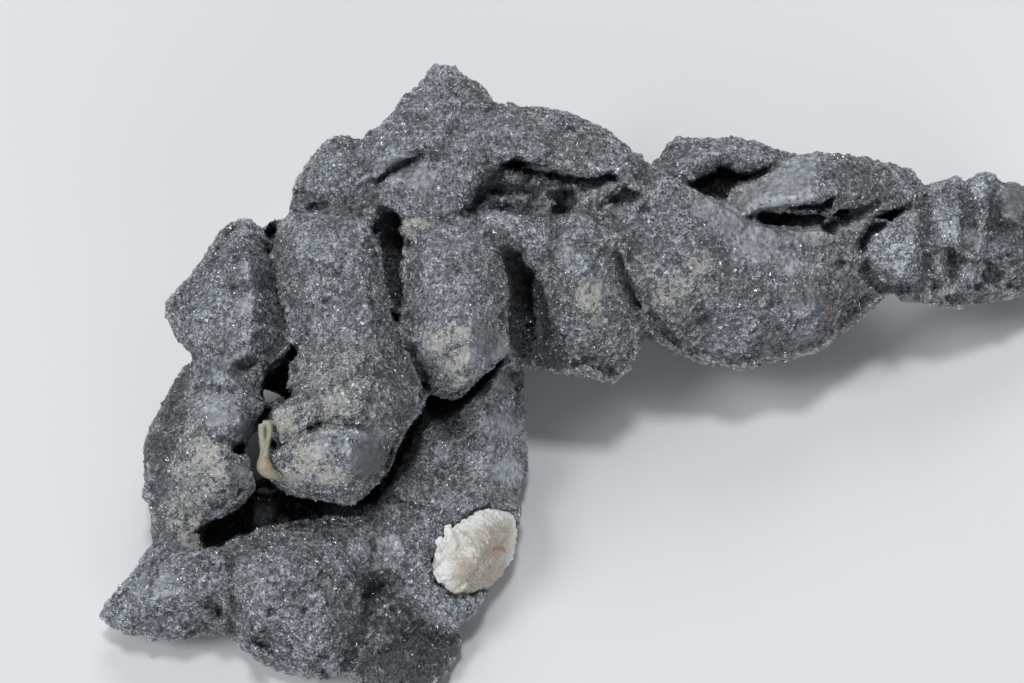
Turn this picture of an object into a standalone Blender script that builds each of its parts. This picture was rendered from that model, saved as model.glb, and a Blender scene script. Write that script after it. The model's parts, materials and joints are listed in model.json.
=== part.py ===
"""A lobed, branching hematite specimen that rests on three small flats, with a white nodule and a pale strand
seated in it. Metres, +Z up, the ground at Z = 0 and the middle of the outline above the origin.

The specimen is described on its show face, the side that it is displayed by: u runs right, v runs up and w
comes out towards the eye, all in millimetres. The eye looks down on it from the front.
"""

import math

import bmesh
import bpy
from mathutils import Matrix, Vector

MM = 0.001
EYE_ELEVATION = math.radians(55)
EYE_DISTANCE = 302.0
GROUND_DROP = 28.3  # from the middle of the show face down to the ground, measured straight down

UNION_VOXEL = 0.45 * MM
CARVED_VOXEL = 0.42 * MM
MASS_TRIANGLES = 8650
NODULE_TRIANGLES = 420
STRAND_TRIANGLES = 260
NODULE_VOXEL = 0.35 * MM
STRAND_VOXEL = 0.2 * MM
SEAT_GAP = 0.3
GIRTH = 0.35  # how far back a lump keeps its full width, as a share of its depth
STANDING = -1.0  # a lump that stands on the ground reaches this much below it, and is trimmed level there
FACE_MIDDLE = (-11.6, -3.6)  # the middle of the show face, as seen from the middle of the finished outline


def world(u, v, w):
    """The place of a show-face point: it is seen at (u, v) whatever its depth w."""
    spread = (EYE_DISTANCE - w) / EYE_DISTANCE
    face = Vector((u * spread, v * spread, w))
    sine, cosine = math.sin(EYE_ELEVATION), math.cos(EYE_ELEVATION)
    along_y = face.y * sine - face.z * cosine
    along_z = face.y * cosine + face.z * sine + GROUND_DROP
    return Vector((face.x, along_y, along_z)) * MM


def kept_clear(points, clear):
    """The places of show-face points, none of them lower than clear above the ground."""
    places = [world(*point) for point in points]
    for place in places:
        place.z = max(place.z, clear * MM)
    return places


def lump(rim, crest=(), depth=10.0, taper=0.75, drop=0.0, clear=3.0):
    """The corners of one convex lump. Its rim and crest face the eye. At depth behind them it has narrowed
    to taper and sunk by drop, but its underside stays clear of the ground."""
    middle_u = sum(point[0] for point in rim) / len(rim)
    middle_v = sum(point[1] for point in rim) / len(rim)
    behind = []
    for u, v, w in rim:
        behind.append((u, v - GIRTH * drop, w - GIRTH * depth))
        back_u = middle_u + (u - middle_u) * taper
        back_v = middle_v + (v - middle_v) * taper - drop
        behind.append((back_u, back_v, w - depth))
    return kept_clear([*rim, *crest, *behind], clear)


def knob(u, v, w, radius, depth=4.0, rise=None, stretch=1.0):
    """A round lump with its top at w."""
    rise = radius * 0.6 if rise is None else rise
    rim = []
    for step in range(8):
        angle = math.tau * step / 8
        rim.append((u + radius * stretch * math.cos(angle), v + radius * math.sin(angle), w - rise))
    return lump(rim, [(u, v, w)], depth)


def hood():
    """The high body at the back: left shoulder, pointed peak, dome, brow and the cheek under the brow."""
    shoulder = lump(
        [(-27.8, 16.4, -13), (-27.5, 18.8, -14), (-26.1, 21.7, -15.5), (-24.1, 24.5, -17), (-21.4, 26.1, -18),
         (-19.4, 25.6, -17.5), (-17.6, 22.4, -13), (-18.2, 18.2, -11.5), (-20.5, 15.6, -10.5),
         (-26.5, 15.4, -11.5)],
        [(-22.6, 21.4, -9.8), (-20.6, 18.6, -9.4), (-25, 19, -10.6)],
        depth=20,
        drop=6,
    )
    shoulder_tip = knob(-21.7, 23.8, -13.2, 2.1, depth=6)
    arch = lump(
        [(-19.4, 19.6, -12.5), (-19, 25.2, -17), (-14.5, 28.6, -17), (-7, 28.4, -15), (-6.4, 24.0, -10.6),
         (-10.6, 23.9, -10.2), (-13.6, 23.1, -10.4), (-16.2, 21.5, -10.9)],
        [(-12.4, 24.9, -9.0), (-9, 25.4, -9.0), (-16.4, 22.8, -10.2)],
        depth=12,
        drop=4,
    )
    lens = lump(
        [(-18.6, 18.8, -11.4), (-16, 20.9, -11.6), (-12.6, 22.6, -11.6), (-8.5, 23, -11), (-9.5, 16.6, -10),
         (-15.8, 16.3, -10.4)],
        depth=8,
    )
    peak = lump(
        [(-16.7, 25.5, -17), (-16.4, 27.5, -18), (-14.0, 30.5, -19), (-10.6, 33.4, -20), (-5.2, 33.2, -20.5),
         (-2, 30.6, -20), (0, 27, -16), (-6, 25, -13), (-14, 24, -13)],
        [(-10, 29, -14.0), (-7.6, 31, -15.6)],
        depth=18,
        taper=0.7,
        drop=9,
    )
    crown = lump(
        [(-11.6, 32.2, -19.6), (-10.6, 33.7, -20), (-9.6, 35.0, -20.5), (-7.6, 35.0, -20.5),
         (-5.6, 33.4, -20.4),
         (-6, 31.8, -18.6)],
        [(-8.6, 33, -17.4)],
        depth=6,
        drop=3,
    )
    dome = lump(
        [(-15, 25.5, -15), (-12, 28.5, -16.5), (0, 30.1, -18.5), (4, 29.6, -19), (8, 28.6, -19),
         (11.4, 27.2, -18.5), (14, 25.2, -17.5), (16.3, 23.1, -17), (18, 20, -17), (19, 14, -15.5),
         (14, 9, -13.5), (4, 9, -13.5), (-2, 13, -13), (-13, 16.5, -12.5)],
        [(-7, 25.4, -10), (1, 26.4, -11), (8, 25, -12), (13, 21.5, -12.6), (-1, 18.6, -10.6),
         (5, 17.6, -10.8)],
        depth=25,
        taper=0.65,
        drop=8,
    )
    brow_left = lump(
        [(-13.6, 12.4, -11), (-14, 18.4, -10.6), (-11, 23.2, -10.6), (-5.6, 24.4, -10.4), (-2.8, 21.6, -10.2),
         (-4.6, 18.4, -10.2), (-6.6, 15.6, -10.2), (-7, 12, -10.2)],
        [(-9.6, 19.5, -8.6), (-5.2, 20.8, -8.3), (-9.6, 15.5, -8.2), (-7.2, 16.8, -8.2)],
        depth=8,
    )
    brow = lump(
        [(-6, 24, -10.4), (-3.4, 21.6, -10.2), (0, 22.7, -10), (3.9, 21.5, -10.2), (7.8, 20, -10.6),
         (11.2, 20.2, -11.4), (14.6, 21.2, -13.4), (13.4, 25.4, -15.2), (7, 28, -15.8), (0, 29, -16.2),
         (-7, 28, -14)],
        [(-2.6, 23.2, -7.9), (0.4, 24, -7.7), (4, 23, -8.0), (8.6, 21.6, -9.0)],
        depth=8,
    )
    cheek = lump(
        [(-6.6, 14.6, -10.6), (-4, 16.6, -10.4), (-1, 16.9, -10.2), (2.3, 16.2, -10.2), (4.8, 14.8, -10.4),
         (7, 11, -10.6), (2, 9.5, -10.5), (-2, 12, -10.5)],
        [(-2, 15.4, -8.2), (1.6, 14.6, -7.9), (3, 12.4, -8.4)],
        depth=10,
    )
    cheek_right = lump(
        [(6.4, 16.4, -10.8), (8.6, 17.6, -11), (12, 16.4, -12), (15.4, 15.4, -13.4), (17.4, 12, -14),
         (14, 7.6, -12), (8, 7.4, -10), (5.6, 11, -10.4)],
        [(7.8, 15.6, -9), (9.4, 12.5, -8.4), (12.6, 12.4, -10)],
        depth=10,
    )
    saddle = lump(
        [(8, 11, -13), (9, 18.6, -13), (13, 22, -15), (17.4, 22.2, -17.8), (22, 19.3, -16.8), (26, 17, -16.2),
         (28, 8, -14.2), (16.5, 7.6, -13.6)],
        [(15.6, 18, -11.8), (19, 15.4, -12), (16.6, 11.5, -11.4), (24, 12.6, -13)],
        depth=13,
        drop=2,
    )
    return [shoulder, shoulder_tip, arch, lens, peak, crown, dome, brow_left, brow, cheek, cheek_right,
            saddle]


def tail():
    """The right arm: its rounded body, the two slabs on top, the diamond and the ribbed, broken stub."""
    body_left = lump(
        [(14, 9, -14), (17.6, 21.2, -17.8), (22.5, 19.0, -17.2), (26.5, 17.2, -16.6), (31, 15.3, -16.6),
         (34, 8, -15.4), (33, -2.2, -18), (28.5, -3.4, -17.5), (25, -2.6, -17), (22, -1.9, -16),
         (19.5, -0.7, -15), (16.2, 1.2, -14.5)],
        [(24, 7, -12.6), (28, 11.6, -13.8), (31, 2.4, -14.2)],
        depth=14,
        taper=0.65,
        drop=1,
    )
    body_right = lump(
        [(26, 16.6, -16.6), (31, 15.2, -16.8), (36, 14.2, -17.2), (40, 14.2, -18.2), (45.5, 12.5, -20.5),
         (46.5, 7, -22), (46, 5.0, -21.5), (43, 2.7, -20), (40, 0.3, -19), (37.5, -1.6, -18),
         (34.2, -1.9, -18),
         (30, -2.7, -18), (25, 5, -14)],
        [(34, 8, -14.0), (36.6, 2.6, -15.2), (41, 8.6, -17)],
        depth=13,
        taper=0.65,
        drop=1,
    )
    knuckle = knob(21.3, 6.2, -10.4, 4.9, depth=8)
    back_slab = lump(
        [(17.6, 22.4, -20), (19.0, 24.2, -21), (20.2, 25.4, -22), (24, 25.2, -23), (28.3, 25.9, -23.5),
         (31, 25.0, -24), (35.5, 23.6, -24), (32, 21.7, -21.6), (28, 20.7, -20), (25, 21.2, -19.4),
         (21, 20.2, -19)],
        [(20.4, 22.8, -18.2), (27, 23.6, -19), (31, 22.6, -20.6)],
        depth=9,
        taper=0.6,
        drop=2,
    )
    front_slab = lump(
        [(26.2, 17.1, -18), (29.2, 19.4, -19.8), (33.4, 22.8, -23.2), (37.8, 23.7, -24), (44, 22.6, -25.2),
         (50, 21.3, -26.4), (51.9, 19.5, -25.6), (51.1, 17, -23.6), (46, 15.9, -19.8), (40, 16.5, -16.8),
         (37.8, 16.4, -15.6), (33, 15.7, -15.4), (30, 15.4, -16.2)],
        depth=6,
        drop=-1,
    )
    ledge = lump(
        [(37.4, 14.4, -17.8), (41, 15.4, -18.6), (46, 15.2, -19.6), (49, 14.2, -20.6), (45, 11, -20.2),
         (38, 11, -17.4)],
        depth=6,
    )
    diamond = lump(
        [(50.4, 16.6, -21.6), (46.2, 13.6, -20.2), (43.7, 10.1, -19.7), (45.9, 6.4, -20.6),
         (49.9, 5.2, -21.6), (51.8, 8.6, -20.8), (52, 13, -20.8)],
        [(48.5, 8.6, -16.8), (48.8, 12.5, -17.2)],
        depth=7,
    )
    core = lump(
        [(48, 5.3, -24), (48, 18.5, -25), (56, 19.3, -27), (62, 18.7, -29), (66.5, 17, -30),
         (67.5, 12, -30), (66.2, 7.4, -29), (60, 5.4, -27), (54, 5.2, -25)],
        [(53, 12, -21.4), (59, 12, -23.6)],
        depth=11,
        taper=0.6,
        drop=1,
    )
    rib_one = lump(
        [(52, 19.9, -26.5), (54.6, 20.3, -27), (56, 20.3, -27.5), (56.2, 13, -22.5), (55.4, 9, -22),
         (52.4, 9, -20.5), (52.2, 14, -20.5)],
        [(54.9, 15, -19.4), (53.4, 11, -19.4)],
        depth=8,
    )
    rib_two = lump(
        [(57.2, 20.7, -28), (59.6, 21.3, -28.5), (60.3, 20.4, -28.5), (60.2, 15, -24), (59.3, 12.6, -23.5),
         (57.8, 12.2, -23.5), (57.2, 18, -25)],
        [(58.8, 17.5, -21.6), (58.6, 13.6, -21.4)],
        depth=8,
    )
    end_top = lump(
        [(60.6, 19.8, -29), (62.8, 19.7, -30), (65.5, 18.5, -31), (67.6, 16.4, -31), (67.4, 14.2, -29),
         (63, 14.2, -26), (60.8, 14.8, -25)],
        [(63.4, 16.8, -23.3)],
        depth=8,
    )
    end_bottom = lump(
        [(60, 12.2, -25), (64, 13.2, -26), (67.6, 12.6, -29), (67.8, 9.5, -30), (65.6, 6.8, -29),
         (62.4, 5.4, -27), (59.8, 5.1, -26), (58.9, 8, -25)],
        [(63, 10, -21.6)],
        depth=9,
    )
    lower_band = lump(
        [(51.8, 9.5, -21.5), (55.6, 9.2, -22), (56.6, 3.9, -24.5), (54.2, 4.5, -24.5), (51, 5.0, -23.5)],
        [(53.6, 7.4, -20)],
        depth=8,
    )
    beads = [knob(57.3, 8.4, -21.0, 1.5), knob(58.3, 5.9, -22.6, 1.5), knob(57.2, 11.2, -21.4, 1.2)]
    backing = lump(
        [(17.5, 20, -24), (24, 23.4, -26), (34, 21.6, -27), (44, 20.4, -28.5), (50, 16.5, -28), (46, 8, -25),
         (36, 3, -23), (26, 2.5, -22), (18, 7, -21)],
        depth=9,
        taper=0.7,
        drop=1,
    )
    return [body_left, body_right, knuckle, back_slab, front_slab, ledge, diamond, core, rib_one, rib_two,
            end_top, end_bottom, lower_band, *beads, backing]


def lobes():
    """The four lobes that hang forward from the hood: small, wedge, middle and left."""
    small = lump(
        [(0.9, -3.2, -12), (4.5, -3.6, -12.5), (7.4, -3.5, -12.5), (10.2, -4.0, -12.5), (13, -5.0, -12.5),
         (15.0, -3.2, -13), (16.0, -0.6, -13.5), (15.6, 2.5, -13.5), (14, 6.5, -13), (12, 12, -12),
         (4, 12, -11.5), (3.2, 6, -11), (1.8, 2, -12)],
        [(9, 8, -6.6), (6.5, 4, -7.4), (12, 3.5, -8.5), (10, 0, -9.2)],
        depth=10,
    )
    cap = knob(9.6, 6.2, -5.8, 2.3, depth=5, rise=0.9, stretch=1.15)
    wedge = lump(
        [(-14.5, 14.1, -10), (-12.8, 15.7, -10), (-6, 16.9, -10.5), (-1.6, 12, -10), (-0.9, 9, -9),
         (-0.1, 5.8, -8), (0, 0.4, -8.5), (-0.5, -1.6, -7), (-4, -4.2, -1), (-6.2, -5.6, 3.2),
         (-8.5, -4, 0.5), (-12.4, -0.4, -4), (-14.2, 2.2, -6), (-13.6, 7, -8)],
        [(-5.3, 2.8, 3.2), (-5.4, -4.6, 5.4), (-7.5, 9, -3.2), (-6.5, 13.5, -6)],
        depth=11,
        taper=0.85,
    )
    wedge_under = lump(
        [(-12.4, -0.6, -5), (-6.2, -5.2, 1), (-7.5, -7.2, -6), (-11, -5.8, -7), (-2, -2.8, -8)],
        depth=8,
        taper=0.8,
    )
    middle_top = lump(
        [(-29.6, 12, -11), (-28.9, 14.6, -11.5), (-26.2, 16.8, -11), (-17, 17, -10), (-16.1, 11, -9),
         (-14.9, 5.9, -8), (-13.3, -1, -6), (-27.4, -1.5, -5), (-28.4, 2.5, -8), (-30, 8, -10)],
        [(-24, 14, -5.2), (-19, 13, -5), (-22, 7, -2), (-20, 0, 1.6), (-24.5, 0, 0)],
        depth=13,
    )
    middle_low = lump(
        [(-28, 1, -6), (-27.4, -5, -4), (-29.9, -8.7, -2), (-30.9, -10.4, -1), (-30.6, -13.4, 0),
         (-22.5, -11, 5), (-13.2, -10.9, 0), (-11.0, -8.7, -2), (-10.7, -7.2, -3), (-12.3, -2.1, -5),
         (-14, 1.6, -6)],
        [(-20, -1, 2.5), (-19, -8.5, 7.5), (-24, -8, 5.5), (-15.5, -7.5, 4.5)],
        depth=13,
    )
    boulder = lump(
        [(-31.3, -15.6, 1), (-30.8, -12.6, 1), (-30.1, -17.0, 1.5), (-27, -19.1, 2), (-24, -19.2, 3),
         (-21.2, -20.0, 3),
         (-19.9, -20.2, 3), (-17.6, -18.6, 1.5), (-15.7, -16.9, 0), (-15.4, -15, -0.5), (-13.4, -10.8, -1),
         (-22.5, -10.4, 6), (-26, -11.4, 5.5), (-29.2, -13.2, 3.5)],
        [(-27, -14.6, 9), (-22, -12.4, 10.2), (-20.3, -12.6, 10.4), (-20.4, -17.8, 9), (-25.5, -17, 8.5)],
        depth=12,
    )
    left_top = lump(
        [(-40, 7.9, -10), (-37.9, 10.4, -11), (-37.0, 12.7, -12), (-35, 14.8, -12), (-33, 15.6, -12),
         (-31.8, 14.9, -12), (-30.6, 12.6, -12), (-30.2, 10, -11.5), (-31.5, 5, -9), (-37, 5, -8)],
        [(-34, 12.2, -7), (-35.5, 8, -5)],
        depth=10,
    )
    left_middle = lump(
        [(-43.5, 3.6, -9), (-42.7, 5.4, -9.5), (-40.2, 8.0, -10), (-37, 10, -9), (-31.4, 8.6, -10),
         (-28.4, 3, -10), (-27.9, 0, -9), (-28.4, -2.4, -8), (-32, -4.2, -6), (-37, -5.2, -5),
         (-39.6, -2.4, -6), (-41.6, 0.2, -8)],
        [(-37, 5, -2), (-33.8, 3, -1.6), (-35.5, -1.2, 0.6), (-39, 2, -2.4)],
        depth=12,
    )
    left_low = lump(
        [(-39.4, -2.6, -5), (-40.2, -5.4, -4.5), (-39.6, -9.4, -3), (-38.2, -13, 0), (-35, -13.8, 0),
         (-32.8, -12.2, -2), (-31.6, -10, -3), (-30.6, -8.5, -4), (-31.4, -6, -4), (-31, -2, -7),
         (-36, 0, -5)],
        [(-36, -4.4, 2.0), (-36.8, -9.6, 4.4), (-34.2, -9.4, 3.6), (-33.4, -6, 0.6)],
        depth=11,
    )
    left_tip = lump(
        [(-41, -11.2, -1), (-42.3, -15.6, -2), (-41.6, -19.6, -1), (-38.6, -22.5, 0), (-36, -21.9, 0.5),
         (-33.8, -20.3, -0.5), (-32.2, -18, -1.5), (-32.5, -15.4, -1.5), (-33.2, -13.0, -1),
         (-36.5, -10.4, 0)],
        [(-35.6, -13.8, 6.2), (-35.8, -19, 6.6), (-39, -15.8, 4.8)],
        depth=10,
    )
    return [small, cap, wedge, wedge_under, middle_top, middle_low, boulder, left_top, left_middle,
            left_low, left_tip]


def back_layer():
    """The thin wall at the far left, which joins the left lobe to the foot, and the floor of the cavity."""
    wall_top = lump(
        [(-41, -3, -10), (-43.3, -7.6, -11), (-45.3, -10.6, -11), (-46.0, -13.4, -10.5), (-40, -14, -8),
         (-36, -9, -8), (-36, -3, -9)],
        depth=9,
        taper=0.85,
    )
    wall_low = lump(
        [(-46.0, -12.6, -10.5), (-45.8, -16, -9.5), (-44.6, -19, -8.5), (-44.2, -22, -7.5),
         (-44.6, -25, -6.5), (-43, -28, -4.5), (-38.4, -27, -3.5), (-38, -22, -4), (-38.5, -13, -7.5)],
        [(-41.5, -23, -3.2), (-42.4, -17, -6)],
        depth=8,
        taper=0.85,
    )
    spur = knob(-45.8, -19.2, -8, 1.0, depth=2.5)
    floor = lump(
        [(-42, -19, -10), (-36, -17.6, -14), (-28, -17.2, -15.5), (-18, -16, -14.5), (-14, -20, -9),
         (-17, -25, -5), (-27, -26, -5), (-36, -27, -5), (-42, -25, -7)],
        [(-24, -20.5, -10.5), (-33, -21.5, -9.5)],
        depth=5,
    )
    return [wall_top, wall_low, spur, floor]


def foot():
    """The low front of the specimen: the foot's pointed toe and the two rounded masses beside it."""
    toe = lump(
        [(-51.5, -34.1, -4), (-50.8, -32.8, -4.5), (-49, -30.4, -5), (-47.0, -28.3, -5.5),
         (-45.8, -26.3, -6), (-43, -24.6, -6), (-37, -25.0, -4), (-32.5, -29, -1.5), (-34.5, -35.8, -3),
         (-38.5, -36.5, -4), (-41.2, -37.9, -4), (-44.4, -38.0, -4), (-48.2, -37.1, -4), (-51, -35.4, -4)],
        [(-46.5, -32, 0), (-42, -29.2, 1.6), (-37.5, -28.8, 2.0), (-36.5, -32.4, 1.6), (-40, -33.8, 1.0),
         (-45.5, -35, -1)],
        depth=6.5,
        clear=2.8,
    )
    toe_knobs = [
        knob(-47.6, -32.8, 0.9, 2.5),
        knob(-43.0, -29.4, 2.5, 3.0),
        knob(-42.4, -34.8, 1.6, 2.4),
        knob(-38.4, -28.2, 3.0, 2.6),
        knob(-36.8, -33.6, 2.6, 2.0),
    ]
    mass_a = lump(
        [(-38, -27, -3.5), (-35, -24.4, -3.5), (-30, -23.3, -3), (-26, -22.4, -3), (-20, -22.6, -3.5),
         (-19, -31.5, -1.5), (-19.8, -36, -1.5), (-21.2, -42.4, -2.4), (-25.7, -42.8, -2.4), (-29, -41.4, -3),
         (-31.2, -40.3, -3), (-34.2, -38.1, -3.5), (-36.8, -36.2, -3.5)],
        [(-30, -26.6, 1.8), (-24, -26.2, 1.8), (-28.6, -31, 4.2), (-24.4, -33, 4.6), (-24, -38, 3.8),
         (-31.6, -34.6, 3.0)],
        depth=8,
        clear=1.3,
    )
    mass_a_knobs = [
        knob(-33.4, -28.6, 3.6, 3.2),
        knob(-27.6, -27.6, 4.0, 3.0),
        knob(-26.0, -34.4, 6.2, 3.2),
        knob(-22.4, -30.4, 3.8, 2.8),
        knob(-30.6, -36.4, 3.8, 2.8),
        knob(-24.0, -39.6, 4.0, 2.6),
    ]
    shoulder_a = lump(
        [(-24, -22.2, -3), (-14, -21.6, -5), (-13.5, -28, -4.4), (-19, -32.4, -2.4), (-24, -31, -0.6)],
        [(-18.8, -25.6, 0.0)],
        depth=8,
    )
    mass_b = lump(
        [(-19.6, -34.4, -2), (-15.5, -33.0, -2), (-9.2, -35.4, -3), (-6.3, -36.9, -4.5), (-7.1, -40.3, -5),
         (-7.7, -42.7, -5), (-9.6, -45.4, -4.5), (-14, -47, -4), (-19, -46, -4), (-21, -42.5, -3.5)],
        [(-11, -38.6, 0.4), (-16, -38.4, 1.2), (-14, -43.6, 0.6)],
        depth=4,
        taper=0.7,
        clear=1.2,
    )
    front_stand = lump(
        [(-17.5, -40, -3), (-10.5, -40, -3), (-10, -44, -3), (-13.5, -46.2, -3), (-18, -44.5, -3)],
        depth=3.5,
        taper=0.9,
        clear=STANDING,
    )
    mass_b_knobs = [
        knob(-16.2, -36.6, 2.6, 2.4),
        knob(-11.4, -37.8, 1.6, 2.2),
        knob(-17.4, -41.2, 2.4, 2.3),
        knob(-12.0, -42.2, 1.8, 2.6),
    ]
    return [toe, *toe_knobs, mass_a, *mass_a_knobs, shoulder_a, mass_b, front_stand, *mass_b_knobs]


def limb():
    """The lower limb, from under the wedge lobe down to the slab that carries the white nodule."""
    upper = lump(
        [(-10, -6, -18), (-3, -1.5, -23), (1.5, -3.4, -25), (0.2, -8, -23.5), (0.8, -11, -21.5),
         (2.0, -15.4, -18.5), (1.4, -19, -15.5), (-2, -22, -11), (-16.5, -21, -5.5), (-16.4, -17.5, -8),
         (-14.2, -13, -12)],
        [(-6, -11, -16.5), (-8, -18, -8.8)],
        depth=7,
        clear=2.2,
    )
    slab = lump(
        [(-16.2, -20, -6), (-18.1, -24, -5), (-18.4, -26.2, -4.5), (-17.9, -27.6, -4.5),
         (-14.5, -29.6, -4.5), (-14.0, -31.6, -4.5), (-11.4, -34.0, -5), (-9.4, -35.5, -5.5),
         (-7.2, -36.6, -6), (-4.4, -34.5, -7), (-2.0, -31.3, -8), (0.1, -28, -9), (0.9, -24, -11),
         (1.5, -21, -13), (-2, -18.5, -13)],
        [(-14.6, -23.6, -2.2), (-12, -21.4, -3.4), (-15, -27, -1.8), (-12.6, -31.2, -1.8),
         (-8.2, -34.8, -3.0),
         (-6.4, -33.8, -3.0), (-4, -26, -4.6), (-3, -22.4, -8)],
        depth=8,
    )
    bridge = lump(
        [(-22, -28, -2), (-14, -27.5, -3), (-10, -33, -4), (-11, -39, -3), (-22, -40, -2.5)],
        depth=7,
    )
    return [upper, slab, bridge]


def hidden_back():
    """What carries the hood: the bulk behind the lobes and two roots that reach the ground."""
    bulk = lump(
        [(-37, 8, -16), (-30, 15, -17), (-14, 18, -18), (6, 13, -18), (16, 9, -18), (16, 2.5, -19),
         (11, -1, -19), (0, -1, -18), (-10, -6, -16), (-27, -7.5, -15), (-37, -3, -15)],
        depth=13,
        taper=0.85,
    )
    left_root = kept_clear(
        [(-37, 3, -20), (-37, 8, -22), (-26, 17, -30), (-12, 21, -36), (-10, 4, -26), (-20, 1.5, -24),
         (-33, 9, -42), (-24, 5, -41), (-19, 10, -45), (-22, 15, -49), (-29, 14, -48)],
        STANDING,
    )
    right_root = kept_clear(
        [(2, 6, -28), (24, 4, -24), (26, 12, -28), (16, 21, -36), (2, 22, -38), (12, 5.5, -41),
         (20, 6.5, -42), (21, 12, -46), (14, 15, -49), (9, 12, -46)],
        STANDING,
    )
    return [bulk, left_root, right_root]


def hollows():
    """The deep clefts and pits that are cut back into the joined lumps."""
    brow_hollow_left = lump(
        [(-6.0, 17.2, -6), (-3.8, 20.4, -6), (-2.6, 21.5, -6), (0, 22.6, -6), (1.8, 22.0, -6),
         (1.2, 20.6, -6),
         (-1.4, 19.6, -6), (-4.4, 17.3, -6)],
        depth=8,
        taper=0.75,
    )
    brow_hollow_right = lump(
        [(0, 22.4, -6), (3.9, 21.3, -6), (7.8, 19.8, -6), (11.6, 19.8, -6), (11, 18.6, -6), (7.6, 18.2, -6),
         (3.6, 19.6, -6), (0.4, 20.4, -6)],
        depth=8.5,
        taper=0.8,
    )
    under_shelf = lump(
        [(-4.4, 16.7, -6), (-2.4, 17.9, -6), (1.2, 18.4, -6), (4.6, 17.8, -6), (6.8, 16.6, -6),
         (5.8, 14.6, -6),
         (4.4, 15.0, -6), (2, 16.4, -6), (-1, 17.0, -6)],
        depth=7.5,
        taper=0.8,
    )
    pit = lump(
        [(12.0, 18.8, -8), (13.8, 19.8, -8), (16.4, 18.4, -8), (14.6, 16.8, -8), (12.6, 17.0, -8)],
        depth=6.5,
    )
    arch_crack = lump(
        [(-18.4, 19.1, -6), (-16.2, 21.2, -6), (-13.4, 22.9, -6), (-10.4, 23.7, -6), (-10.6, 23.1, -6),
         (-13.4, 22.2, -6), (-16, 20.4, -6), (-17.8, 18.7, -6)],
        depth=6.4,
        taper=0.95,
    )
    shoulder_hollow = knob(-24.8, 17.4, -8.5, 1.6, depth=4.5, stretch=1.3)
    upper_slot = lump(
        [(20.8, 19.5, -14), (25, 21.2, -14), (28.8, 20.6, -14), (28.8, 19.9, -14), (26.2, 18.2, -14)],
        depth=10,
        taper=0.85,
    )
    main_slot = lump(
        [(28.8, 15.9, -12), (33, 15.9, -12), (38.6, 16.4, -12), (38.4, 14.6, -12), (36, 14.0, -12),
         (33, 14.3, -12)],
        depth=11,
        taper=0.95,
    )
    end_slot = lump(
        [(38, 15.9, -14), (45, 16.1, -14), (49, 17.0, -14), (51.6, 18.6, -14), (51.6, 17.3, -14),
         (48, 15.5, -14), (42, 15.2, -14)],
        depth=8,
        taper=0.95,
    )
    rib_gap = lump(
        [(56.0, 21, -20), (57.3, 21, -20), (57.6, 13, -18), (56.7, 9.5, -18), (55.9, 10, -18),
         (56.2, 15, -19)],
        depth=7,
        taper=0.9,
    )
    end_gap = lump(
        [(60.2, 14.6, -20), (64, 14.4, -20), (68.4, 14.2, -22), (68.4, 13.0, -22), (64, 13.2, -20),
         (60, 13.2, -20)],
        depth=7,
        taper=0.9,
    )
    stub_hole = knob(59.6, 8.4, -18, 1.1, depth=8)
    left_slit = lump(
        [(-16.5, 17.0, -4), (-13.6, 15.4, -4), (-14.0, 9, -4), (-13.4, 4, -4), (-14.3, 2.0, -4),
         (-15.2, 7, -4),
         (-16.4, 11.5, -4)],
        depth=13,
        taper=0.9,
    )
    right_slit = lump(
        [(-1.6, 12.1, -3), (1.4, 11.9, -3), (2.2, 8, -3), (3.1, 4, -3), (1.2, -3, -3), (-0.2, -1.8, -3),
         (0.1, 4.4, -3), (-0.5, 8, -3)],
        depth=15,
        taper=0.9,
    )
    lobe_gap = lump(
        [(-27.7, -0.6, 2), (-27.6, -5.2, 2), (-28.4, -6.6, 2), (-30.4, -8.8, 2), (-31.0, -8.2, 4),
         (-31.4, -5.8, 4), (-28.8, -2, 4)],
        depth=18,
        taper=0.9,
    )
    boulder_crack = lump(
        [(-30, -13.4, 12), (-27, -12.6, 12), (-22.6, -10.6, 12), (-17, -10.4, 12), (-17, -9.9, 12),
         (-22.6, -10.0, 12), (-27, -11.8, 12)],
        depth=7,
        taper=0.95,
    )
    mass_crevice = lump(
        [(-18.6, -28.4, 6), (-14.6, -29, 6), (-13.9, -31.4, 6), (-16.5, -32.6, 6), (-18.6, -36.8, 6),
         (-19.8, -37.6, 6), (-19.6, -32, 6)],
        depth=11,
        taper=0.6,
    )
    return [brow_hollow_left, brow_hollow_right, under_shelf, pit, arch_crack, shoulder_hollow, upper_slot,
            main_slot, end_slot, rib_gap, end_gap, stub_hole, left_slit, right_slit, lobe_gap, boulder_crack,
            mass_crevice]


def hull_mesh(name, solids):
    """One mesh that holds the convex hull of each list of places."""
    mesh = bmesh.new()
    for places in solids:
        corners = [mesh.verts.new(place) for place in places]
        made = bmesh.ops.convex_hull(mesh, input=corners)
        spare = [item for item in made["geom_interior"] if isinstance(item, bmesh.types.BMVert)]
        bmesh.ops.delete(mesh, geom=spare, context="VERTS")
    bmesh.ops.recalc_face_normals(mesh, faces=mesh.faces)
    data = bpy.data.meshes.new(name)
    mesh.to_mesh(data)
    mesh.free()
    return data


def placed(name, data):
    piece = bpy.data.objects.new(name, data)
    bpy.context.scene.collection.objects.link(piece)
    return piece


def applied(piece):
    """Replaces the object's mesh by what its modifiers make of it."""
    graph = bpy.context.evaluated_depsgraph_get()
    made = bpy.data.meshes.new_from_object(piece.evaluated_get(graph))
    spent = piece.data
    piece.modifiers.clear()
    piece.data = made
    bpy.data.meshes.remove(spent)


def fuse(piece, voxel):
    modifier = piece.modifiers.new("Fuse", "REMESH")
    modifier.mode = "VOXEL"
    modifier.voxel_size = voxel


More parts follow.
